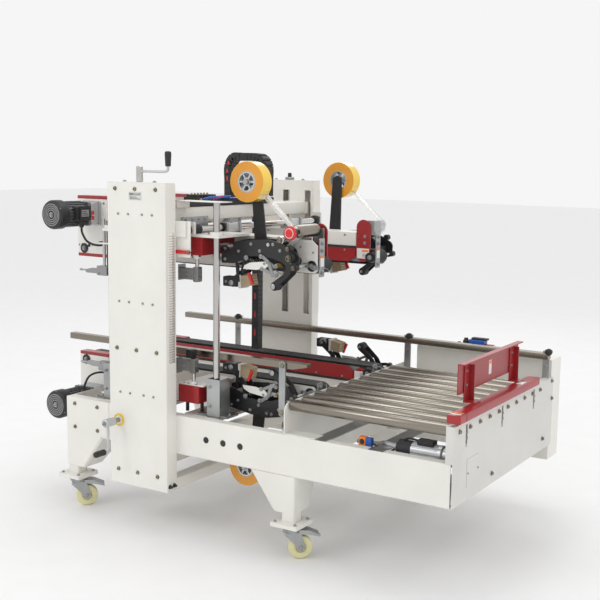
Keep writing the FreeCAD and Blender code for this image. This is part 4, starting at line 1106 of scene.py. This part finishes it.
def tape_roll(unit):
    """A wound roll of tape on a card core, clamped by a spoked silver hub."""
    shape = unit_shape(unit)
    centre = (ROLL_X, ROLL_HEIGHT)
    front, back = HEAD_FRONT + 5, HEAD_FRONT + 61
    shape.lathe("y", centre, [(front, 41), (front, 76), (front + 0.8, 77), (back - 0.8, 77), (back, 76),
                              (back, 41)],
                tape_film, 72)
    for face, out in ((front, -1), (back, 1)):
        a, b = sorted((face, face + out * 0.6))
        shape.ring("y", centre, (a, b), 75.5, 41, tape_face, 72)
    shape.ring("y", centre, (front - 0.8, back + 0.8), 41.5, 38, core, 64)
    shape.ring("y", centre, (front - 2, front + 2), 38, 33, aluminium, 48)
    shape.ring("y", centre, (front + 2, back - 2), 37.6, 35, aluminium, 48)
    shape.ring("y", centre, (front - 2, back - 4), 16, 10.2, aluminium, 36)
    for spoke in range(6):
        angle = 2 * math.pi * spoke / 6
        dx, dz = math.cos(angle), math.sin(angle)
        half = 3.2
        outline = [(centre[0] + dx * 14 - dz * half, centre[1] + dz * 14 + dx * half),
                   (centre[0] + dx * 14 + dz * half, centre[1] + dz * 14 - dx * half),
                   (centre[0] + dx * 35 + dz * half, centre[1] + dz * 35 - dx * half),
                   (centre[0] + dx * 35 - dz * half, centre[1] + dz * 35 + dx * half)]
        shape.prism("y", outline, front, front + 30, aluminium)
    shape.finish(f"tape_roll_{unit}_wound", f"tape_roll_{unit}", [f"tape_roll_{unit}"], 0.3, "tape")


def tape_web(unit):
    """The film that runs from the roll to the guide roller and down into the head."""
    shape = unit_shape(unit)
    base = BELT_LOW.z
    line = [(ROLL_X + 62, ROLL_HEIGHT - 46), (682, base + 183), (698, base + 176), (707, base + 160)]
    shape.band(line, (HEAD_FRONT + 8, HEAD_FRONT + 58), 0.5, web)
    shape.band([(707, base + 160), (700, base + 132), (668, base + 102)], (HEAD_FRONT + 8, HEAD_FRONT + 58),
               0.5, web)
    shape.finish(f"tape_web_{unit}", UNITS[unit], bevel=0, slot="tape")


# ---- near carriages, posts, gantry and rails --------------------------------------------------

POST_XS = (-108, 424)
POST_Y = 135
ARM_REACH = 140


def carriage(shape, unit):
    """Per post: a white plate with its clamp collar, a red box arm, and the side guide's brackets."""
    top = UNIT_TOP + 10
    drop, shift = (44, 28) if unit == "lower_near" else (0, 10)
    for x, out in zip(POST_XS, (1, -1)):
        plate = sorted((x - out * 26, x + out * ARM_REACH))
        shape.soft_box("z", plate, (112, UNIT_FRONT - 1), (UNIT_TOP, top), 4, white)
        shape.ring("z", (x, POST_Y), (top, top + 12), 25, 13.2, white, 40)
        for dx in (-6, 54):
            shape.screw("z", (x + out * dx, POST_Y + 26), top, 1, 5)
        arm = sorted((x + out * (ARM_REACH - 100) - shift, x + out * ARM_REACH - shift))
        low = UNIT_TOP - 69 - drop
        shape.soft_box("y", arm, (low, low + 68.7), (112, UNIT_FRONT - 2), 3, red)
        for step in range(4):
            shape.rod("z", (arm[0] + 20 + 20 * step, 122), (low - 6, low), 4, matt_black, 12)
        if drop:
            shape.soft_box("z", (arm[0] + 4, arm[1] + 20), (114, UNIT_FRONT - 4), (low - 5, low), 3, white)
            for foot in (arm[0] + 14, arm[1] - 14):
                shape.rod("z", (foot, 150), (low + 68, UNIT_TOP), 7, matt_black, 16)
    hanging_bracket(shape, POST_XS[1] - ARM_REACH + 40 - shift, UNIT_TOP - 69 - drop, drop > 0)
    side_bracket(shape, 31 if drop else 0)


def side_bracket(shape, rise):
    """The rod, collar and long cast arm that carry the side guide at the carriage's left end."""
    x, y = -142, 132
    low = 978 + rise
    shape.rod("z", (x, y), (low + 38, UNIT_TOP + 48), 6.5, chrome, 24)
    shape.rod("z", (x + 11, y + 8), (low + 38, UNIT_TOP + 40), 4, matt_black, 16)
    shape.soft_box("z", (x - 18, x + 36), (y - 12, y + 16), (low + 128, low + 134), 3, white)
    shape.soft_box("z", (x - 20, x - 8), (y - 10, y + 10), (low + 134, low + 138), 2, matt_black)
    shape.soft_box("y", (x - 32, x + 22), (low, low + 39), (y - 12, y + 14), 5, cast)
    arm = [(x - 96, low + 6), (x - 30, low + 6), (x - 30, low + 26), (x - 70, low + 26),
           (x - 102, low + 19)]
    shape.prism("y", arm, y - 6, y + 8, cast)
    shape.lathe("x", (y, low + 16), [(x - 134, 0), (x - 134, 5), (x - 124, 5), (x - 122, 3.5),
                                     (x - 96, 3.5), (x - 96, 0)], zinc, 16)
    shape.screw("y", (x - 22, low + 8), y - 12, -1, 4)


def hanging_bracket(shape, x, low, block):
    """The cast bracket and rod that carry the lane's side guide under a red arm."""
    shape.lathe("z", (x + 20, 132), [(low - 88, 0), (low - 88, 6), (low - 86, 8), (low, 8), (low, 0)],
                chrome, 24)
    shape.lathe("z", (x + 20, 132), [(low - 14, 0), (low - 14, 13), (low - 4, 16), (low, 16), (low, 0)],
                white, 28)
    shape.soft_box("y", (x - 52, x + 8), (low - 96, low - 54), (118, 146), 3, cast)
    shape.soft_box("y", (x + 8, x + 34), (low - 104, low - 46), (120, 144), 6, zinc)
    shape.box((x - 58, x - 52), (112, 152), (low - 100, low - 40), zinc)
    shape.screw("y", (x - 20, low - 75), 118, -1, 5)
    shape.screw("x", (132, low - 75), x + 34, 1, 4)
    if block:
        shape.soft_box("y", (x - 8, x + 22), (low - 138, low - 105), (118, 146), 3, black)


def posts(shape):
    """The two polished posts in folded zinc brackets."""
    low, high = station_box("belt_unit_lower_near")
    base = 2 * BELT_MIDDLE - UNIT_TOP
    for x in POST_XS:
        profile = [(base, 0), (base, 13), (high.z - 2, 13), (high.z, 11), (high.z, 0)]
        shape.lathe("z", (x, POST_Y), profile, chrome, 40)
        top = BED_HIGH.z + 148
        bracket = [(x - 31, POST_Y - 21), (x - 29, POST_Y - 23), (x + 29, POST_Y - 23),
                   (x + 31, POST_Y - 21), (x + 31, POST_Y + 43), (x + 27, POST_Y + 43),
                   (x + 27, POST_Y - 19), (x - 27, POST_Y - 19), (x - 27, POST_Y + 43),
                   (x - 31, POST_Y + 43)]
        shape.prism("z", bracket, base, top, zinc)
        shape.soft_box("z", (x - 26, x + 26), (POST_Y - 18, POST_Y + 38), (top - 48, top - 36), 4,
                       aluminium)
        for z in (base + 44, top - 30):
            shape.screw("y", (x - 16, z), POST_Y - 23, -1, 6)
        shape.soft_box("z", (x - 78, x + 62), (POST_Y - 16, POST_Y + 60), (base + 2, base + 10), 5, zinc)
        for dx in (-66, 48):
            shape.screw("z", (x + dx, POST_Y + 20), base + 10, 1, 5)


def gantry():
    """The crossbeam, slide plates and cross shafts."""
    low, high = station_box("gantry_beam")
    shape = Shape()
    beam = (160, 250)
    ends = (67, 2 * BED_MIDDLE - 67)
    shape.soft_box("y", beam, (1214, 1269), ends, 6, white)
    for x in SHAFT_XS:
        shape.rod("y", (x, SHAFT_HEIGHT), ends, 12.5, chrome, 36)
    for shape.flip_y in (None, BED_MIDDLE):
        shape.soft_box("y", (-45, 262), (1214, 1266), (58.5, 67.5), 4, white)
        for x in SHAFT_XS:
            shape.soft_box("y", (x - 25, x + 25), (SHAFT_HEIGHT - 24, 1222), (59, 67), 2, white)
            shape.lathe("y", (x, SHAFT_HEIGHT), [(67.5, 0), (67.5, 21), (86, 21), (88, 18), (88, 0)],
                        matt_black, 36)
            for dx in (-17, 17):
                shape.screw("y", (x + dx, 1200), 67, 1, 4)
        for x, radius in ((141, 12.05), (GUIDE_ROD_X, 10.05)):
            shape.ring("z", (x, COLUMN_DEPTH / 2), (1196, 1252), 21, radius, brass, 32)
            shape.box((x - 10, x + 10), (COLUMN_DEPTH / 2 + 18, 59), (1200, 1248), cast)
        for x in (110, 240):
            shape.screw("y", (x, 1240), 67.5, 1, 6)
    shape.flip_y = None
    shape.soft_box("y", (288, 352), (1086, 1222), (68, 72), 2, white)
    shape.screw("y", (330, 1200), 68, -1, 3, blue)
    pointer = [(276, 1106), (284, 1113), (352, 1113), (358, 1106), (352, 1099), (284, 1099)]
    shape.prism("y", pointer, 62, 66, bright_red)
    shape.screw("y", (348, 1106), 62, -1, 6, bolt_zinc)
    shape.finish("gantry_crossbeam", "gantry", ["gantry_beam"], 0.8)


def chain(shape, points, ys, size=20, thickness=26):
    """An energy chain: overlapping black links at equal steps along (x, z) points."""
    path = smooth_path([Vector((x, 0, z)) for x, z in points], 40)
    travelled = size
    for before, after in zip(path, path[1:]):
        run = after - before
        travelled += run.length
        if travelled < size:
            continue
        travelled -= size
        along = run.normalized()
        across = Vector((-along.z, 0, along.x))
        for reach, half, inset, material in ((0.56, 0.5, 0, matt_black), (0.3, 0.55, 4, black)):
            corners = []
            for a, b in ((-reach, -half), (reach, -half), (reach, half), (-reach, half)):
                corner = after + along * size * a + across * thickness * b
                corners.append((corner.x, corner.z))
            shape.prism("y", corners, ys[0] + inset, ys[1] - inset, material)


def beam_equipment():
    """The valve block, cable tray, energy chains and air lines on the crossbeam."""
    shape = Shape()
    top = 1269
    shape.box((150, 252), (120, 760), (top + 0.5, top + 3), black)
    for x in (150, 249):
        shape.box((x, x + 3), (120, 760), (top + 0.5, top + 22), black)
    shape.soft_box("y", (172, 238), (top + 3, top + 34), (250, 400), 4, matt_black)
    for step in range(6):
        y = 262 + 20 * step
        shape.soft_box("y", (176, 234), (top + 34, top + 44), (y, y + 16), 2, black)
        shape.lathe("x", (y + 8, top + 24), [(238, 0), (238, 6), (246, 6), (248, 4), (248, 0)], brass, 12)
        shape.lathe("z", (196, y + 8), [(top + 44, 0), (top + 44, 4), (top + 50, 4), (top + 50, 0)], brass,
                    12)
        tube = bright_red if step == 3 else blue
        shape.pipe([(248, y + 8, top + 24), (262, y + 20, top + 32), (258, y + 80, top + 36),
                    (240 - 6 * step, 480, top + 26), (200 - 6 * step, 600, top + 24)], 3.4, tube, 8)
    shape.soft_box("z", (150, 252), (72, 118), (top + 2, top + 24), 4, bright_red)
    shape.soft_box("z", (176, 240), (78, 112), (top + 24, top + 36), 4, white)
    shape.box((262, 470), (96, 172), (1294, 1297), white)
    shape.box((252, 266), (96, 172), (1268, 1294), white)
    chain(shape, [(138, 1300), (138, 1360), (138, 1424), (162, 1462), (200, 1464), (262, 1464), (300, 1458),
                  (322, 1424), (322, 1360), (322, 1300)], (580, 636), 20, 30)
    for x, z in ((139, 1396), (146, 1430), (139, 1364)):
        shape.box((x - 4, x + 4), (579, 580), (z, z + 16), bright_red)
    shape.soft_box("y", (104, 340), (1284, 1300), (580, 636), 3, black)
    chain(shape, [(206, 1260), (207, 1100), (207, 950), (207, 800), (206, 640)], (690, 730), 20, 30)
    for step in range(7):
        z = 690 + 80 * step
        shape.box((206, 212), (689, 690), (z, z + 26), bright_red)
    shape.finish("beam_equipment", "gantry", bevel=0.5)


def shaft_bearings():
    """The drive's bearing plate, coupling and zinc bracket on the near side of the crossbeam."""
    shape = Shape()
    low = SHAFT_HEIGHT
    shape.soft_box("y", (284, 336), (low - 22, low + 30), (110, 122), 4, white)
    shape.ring("y", (310, low), (104, 110), 19, 12.6, matt_black, 36)
    shape.ring("y", (310, low), (122, 172), 19, 12.6, matt_black, 36)
    shape.box((252, 256), (140, 300), (low - 16, low + 44), zinc)
    shape.box((256, 296), (140, 300), (low - 16, low - 12), zinc)
    for y in (160, 200, 240, 280):
        shape.screw("x", (y, low + 34), 256, 1, 4)
    shape.finish("shaft_bearing_plate", "gantry", bevel=0.6)


def guide_rail(node, name, body, taper):
    """A bright tube rail on posts, with clamp blocks and black knobs."""
    low, high = station_box(node)
    shape = Shape()
    far = taper == 0
    bottom = 679 if far else 687
    if far:
        section = rounded(low.y + 1, low.y + 36, bottom, bottom + 25, 3)
        shape.prism("x", section, low.x, high.x, rail_steel)
        post_xs = (-105, 807, high.x - 14)
        post_y = high.y - 14
    else:
        ys = (low.y, low.y + 30)
        outline = [(low.x, bottom), (high.x - taper, bottom), (high.x, bottom + 14), (high.x, bottom + 25),
                   (low.x, bottom + 25)]
        shape.prism("y", outline, low.y, low.y + 30, rail_steel)
        post_xs = (700,)
        post_y = low.y + 30
    for x in post_xs:
        if far:
            shape.soft_box("y", (x - 15, x + 13), (BED_HIGH.z, bottom + 34), (post_y - 5, post_y + 3), 6,
                           zinc)
            shape.soft_box("z", (x - 15, x + 13), (post_y - 12, post_y + 14), (BED_HIGH.z, BED_HIGH.z + 6),
                           3, zinc)
            shape.soft_box("z", (x - 10, x + 22), (post_y - 22, post_y + 10), (bottom + 26, bottom + 34), 3,
                           zinc)
            knob(shape, (x + 14, post_y - 2, bottom + 30), -1)
            for z in (BED_HIGH.z + 30, bottom - 30):
                shape.screw("y", (x, z), post_y - 5, -1, 5)
        else:
            shape.soft_box("y", (x - 14, x + 14), (low.z + 2, bottom + 27), (low.y - 8, low.y - 1), 12,
                           zinc)
            for z in (low.z + 20, bottom + 12):
                shape.lathe("y", (x, z), [(low.y - 13, 0), (low.y - 13, 9), (low.y - 8, 11),
                                          (low.y - 8, 0)], bolt_zinc,
                            24)
    shape.finish(name, body, [node], 0.7)


def air_unit():
    """The small filter-regulator with its red lever and hose, on a bracket behind the far rail."""
    shape = Shape()
    y = station_box("control_cabinet")[0].y + 60
    top = station_box("control_cabinet")[1].z
    shape.box((1010, 1150), (y - 20, y + 24), (top, top + 4), zinc)
    shape.soft_box("x", (y - 18, y + 18), (top + 4, top + 40), (1060, 1130), 5, blue)
    shape.soft_box("x", (y - 14, y + 14), (top + 40, top + 48), (1070, 1140), 3, matt_black)
    shape.lathe("z", (1040, y), [(top + 4, 0), (top + 4, 14), (top + 30, 14), (top + 36, 9), (top + 42, 9),
                                 (top + 42, 0)], matt_black, 28)
    shape.lathe("z", (1008, y), [(top + 4, 0), (top + 4, 8), (top + 22, 8), (top + 24, 0)], black, 24)
    shape.prism("y", [(1130, top + 14), (1166, top + 18), (1172, top + 24), (1130, top + 24)], y - 8, y + 8,
                bright_red)
    shape.pipe([(1040, y - 12, top + 14), (1036, y - 40, top + 6), (1044, y - 52, top - 40),
                (1052, y - 52, top - 90)], 4,
               matt_black)
    shape.finish("air_unit", "frame", bevel=0.6)


def knob(shape, at, out):
    x, y, z = at
    profile = [(y, 0), (y, 6), (y + out * 8, 7), (y + out * 10, 14), (y + out * 24, 15), (y + out * 27, 11),
               (y + out * 28, 0)]
    if out < 0:
        profile.reverse()
    shape.lathe("y", (x, z), profile, matt_black, 10)


def cabinet():
    """The shallow control cabinet behind the roller table, with its door, hinges and lock."""
    low, high = station_box("control_cabinet")
    shape = Shape()
    shape.soft_box("y", (low.x, high.x), (low.z, high.z), (low.y, high.y - 6), 4, white)
    shape.soft_box("y", (low.x + 6, high.x - 6), (low.z + 6, high.z - 6), (high.y - 5, high.y), 4, white)
    for z in (low.z + 70, high.z - 70):
        shape.rod("z", (low.x + 5, high.y - 2), (z - 22, z + 22), 4, zinc, 16)
    shape.lathe("y", (high.x - 40, (low.z + high.z) / 2),
                [(high.y - 1, 0), (high.y - 1, 11), (high.y, 10), (high.y, 0)], zinc, 24)
    for x in (low.x + 90, low.x + 150, low.x + 210):
        shape.lathe("z", (x, (low.y + high.y) / 2),
                    [(low.z - 14, 0), (low.z - 14, 7), (low.z - 8, 11), (low.z, 11),
                     (low.z, 0)], matt_black, 16)
    for slot in range(8):
        z = low.z + 90 + 14 * slot
        shape.prism("x", [(high.y - 1, z), (high.y, z + 3), (high.y - 1, z + 8)], high.x - 230,
                    high.x - 130, white)
    shape.finish("control_cabinet_door", "frame", ["control_cabinet"], 0.8)


def height_crank():
    """The lifting screw with its tall hub, bent rod arm and upright grip."""
    low, high = station_box("height_crank")
    centre = (141, COLUMN_DEPTH / 2)
    top = COLUMN_HIGH.z
    shape = Shape()
    shape.lathe("z", centre, threaded(low.z, top - 6, 12), zinc, 24)
    shape.lathe("z", centre, [(top - 6, 0), (top - 6, 9), (top + 0.5, 9), (top + 0.5, 12.5), (top + 2, 13),
                              (top + 58, 13), (top + 60, 11), (top + 60, 0)], chrome, 32)
    shape.pipe([(150, centre[1], 1404), (200, centre[1], 1404), (256, centre[1], 1404),
                (272, centre[1], 1406), (279, centre[1], 1413), (280, centre[1], 1430)], 5, aluminium, 16)
    grip = [(1424, 0), (1424, 9), (1427, 10.5), (1440, 11), (1466, 12.5), (1476, 12), (1479, 9), (1480, 5),
            (1480, 0)]
    shape.lathe("z", (280, centre[1]), grip, matt_black, 28)
    shape.finish("height_crank_handle", "height_crank", ["height_crank"], 0.5)


def threaded(low, high, radius, pitch=10):
    """The outline of a trapezoid thread, as rings."""
    profile = [(low, 0), (low, radius - 1)]
    z = low + 2
    while z + pitch < high:
        profile += [(z, radius - 1.6), (z + pitch * 0.2, radius), (z + pitch * 0.55, radius),
                    (z + pitch * 0.75, radius - 1.6)]
        z += pitch
    return profile + [(high, radius - 1), (high, 0)]


def rear_lift_screw():
    low, high = station_box("rear_lift_screw")
    centre = (141, 2 * BED_MIDDLE - COLUMN_DEPTH / 2)
    shape = Shape()
    shape.lathe("z", centre, threaded(low.z, COLUMN_HIGH.z - 6, 12), zinc, 24)
    shape.lathe("z", centre, [(COLUMN_HIGH.z - 6, 0), (COLUMN_HIGH.z - 6, 9), (high.z - 4, 9), (high.z, 6),
                              (high.z, 0)], matt_black, 24)
    shape.lathe("z", centre, [(1363.5, 9), (1363.5, 20), (1371, 22), (1376, 18), (1376, 9)], cast, 32)
    shape.finish("rear_lift_screw_thread", "rear_lift_screw", ["rear_lift_screw"], 0.4)


def width_crank():
    """The width screw with its aluminium hub, bent rod arm and ribbed grip."""
    low, high = station_box("width_crank")
    x, z = 50, 434
    shape = Shape()
    shape.rod("y", (x, z), (-40, high.y), 9, zinc, 24)
    shape.lathe("y", (x, z), [(-84, 0), (-84, 11), (-81, 16), (-36, 16), (-34, 14), (-34, 0)], aluminium,
                32)
    shape.screw("y", (x, z), -84, -1, 7)
    shape.pipe([(x, -66, z - 10), (x, -66, 400), (x, -66, 348), (x, -68, 330), (x, -76, 323),
                (x, -90, 322)], 5.2,
               aluminium, 16)
    grip = [(-140, 0), (-140, 7), (-137, 11), (-128, 12.5), (-126, 11.5), (-112, 12.5), (-110, 11.5),
            (-96, 12.5), (-88, 12), (-84, 9), (-84, 0)]
    shape.lathe("y", (x, 322), grip, matt_black, 28)
    shape.finish("width_crank_handle", "width_crank", ["width_crank"], 0.5)


def crank_collar():
    shape = Shape()
    shape.ring("y", (50, 434), (-7, 0), 24, 19, yellow, 40)
    shape.ring("y", (50, 434), (-5, 0), 19, 9.5, white, 36)
    shape.finish("width_crank_collar", "frame", bevel=0.6)


def emergency_stop():
    """The red mushroom and its collar, in front of the two tape guide rollers."""
    low, high = station_box("emergency_stop")
    centre = ((low.x + high.x) / 2, (low.z + high.z) / 2)
    front = low.y
    shape = Shape()
    cap = [(front, 0), (front + 0.6, 12), (front + 3, 21), (front + 7, 26), (front + 11, 27),
           (front + 14, 24), (front + 16, 12), (front + 16, 10), (high.y, 10), (high.y, 0)]
    shape.lathe("y", centre, cap, bright_red, 56)
    shape.ring("y", centre, (front + 1.2, front + 3.4), 18.5, 16.5, label, 48)
    shape.finish("emergency_stop_mushroom", "emergency_stop", ["emergency_stop"], 0.3)
    guides = Shape()
    guides.ring("y", centre, (front + 22, front + 44), 15, 11.3, matt_black, 36)
    guides.lathe("y", (centre[0] - 14, centre[1] + 2), guide_roller_profile(front + 62, 404), steel, 48)
    guides.soft_box("y", (centre[0] - 22, centre[0] + 22), (UNIT_TOP - 18, centre[1] + 10), (405, 411), 4,
                    zinc)
    small = (651, 1159)
    guides.lathe("y", small, [(222, 0), (222, 13), (224, 16), (310, 16), (312, 14), (312, 0)], chrome, 36)
    guides.ring("y", small, (221, 223), 12.5, 9, matt_black, 32)
    guides.screw("y", small, 222, -1, 7, bolt_zinc)
    guides.finish("tape_guide_rollers", "near_upper", bevel=0.6)


def bolts():
    """Screw heads of the far side, which stand for the grouped fasteners."""
    shape = Shape(flip_y=BED_MIDDLE)
    for x in (-246, -122, 690, 790):
        for z in (360, 430):
            shape.screw("y", (x, z), BED_LOW.y, -1, 5)
    shape.finish("frame_screws", "frame", ["machine_bolts"], 0.3, "screws")


# ---- studio -----------------------------------------------------------------------------------

CAMERA_PLACE = Vector((2.2827, -3.4543, 1.4636))
CAMERA_YAW, CAMERA_PITCH, CAMERA_ROLL = 30.647, 8.381, 1.025
CAMERA_LENS = 61.66
CAMERA_SHIFT = (-0.0633, 0.0168)


def camera():
    yaw, pitch, roll = (math.radians(a) for a in (CAMERA_YAW, CAMERA_PITCH, CAMERA_ROLL))
    data = bpy.data.cameras.new("camera")
    data.sensor_width = 36
    data.lens = CAMERA_LENS
    data.shift_x, data.shift_y = CAMERA_SHIFT
    eye = bpy.data.objects.new("camera", data)
    bpy.context.scene.collection.objects.link(eye)
    look = Matrix.Rotation(yaw, 4, "Z") @ Matrix.Rotation(math.pi / 2 - pitch, 4, "X")
    eye.matrix_world = Matrix.Translation(CAMERA_PLACE) @ look @ Matrix.Rotation(roll, 4, "Z")
    bpy.context.scene.camera = eye


def studio():
    """A pale floor, an even pale sky and large soft lights."""
    bpy.ops.mesh.primitive_plane_add(size=60)
    floor = bpy.context.object
    floor.name = "floor"
    floor.data.materials.append(floor_paint)
    world = bpy.data.worlds.new("studio")
    world.use_nodes = True
    world.node_tree.nodes["Background"].inputs["Color"].default_value = (1.0, 1.0, 1.0, 1)
    world.node_tree.nodes["Background"].inputs["Strength"].default_value = 0.92
    bpy.context.scene.world = world
    bpy.context.scene.view_settings.view_transform = "Standard"
    for name, place, size, power in (("key", (-2.2, -4.6, 3.8), 2.0, 42),
                                     ("fill", (4.6, -1.4, 2.6), 1.6, 8), ("top", (0.3, 0.4, 4.6), 2.0, 26),
                                     ("rim", (-1.5, 4.4, 3.4), 2.0, 16)):
        data = bpy.data.lights.new(name, "AREA")
        data.energy = power
        data.size = size
        lamp = bpy.data.objects.new(name, data)
        bpy.context.scene.collection.objects.link(lamp)
        lamp.location = place
        lamp.rotation_euler = (Vector((0, 0, 0.7)) - lamp.location).to_track_quat("-Z", "Y").to_euler()


camera()
studio()
columns()
column_plates()
bed()
legs()
for corner in ("front_left", "front_right", "rear_left", "rear_right"):
    castor(corner)
rollers()
table()
photo_sensor()
guard()
for unit in UNITS:
    belt_unit(unit)
    gearmotor(unit)
    tape_head(unit)
    tape_roll(unit)
    tape_web(unit)
    for kind in ARM_PIVOTS:
        swing_arm(unit, kind)
gantry()
beam_equipment()
shaft_bearings()
air_unit()
guide_rail("far_guide_rail", "far_rail_tube", "frame", 0)
guide_rail("near_guide_rail", "near_rail_tube", "near_lower", 60)
cabinet()
height_crank()
rear_lift_screw()
width_crank()
crank_collar()
emergency_stop()
bolts()
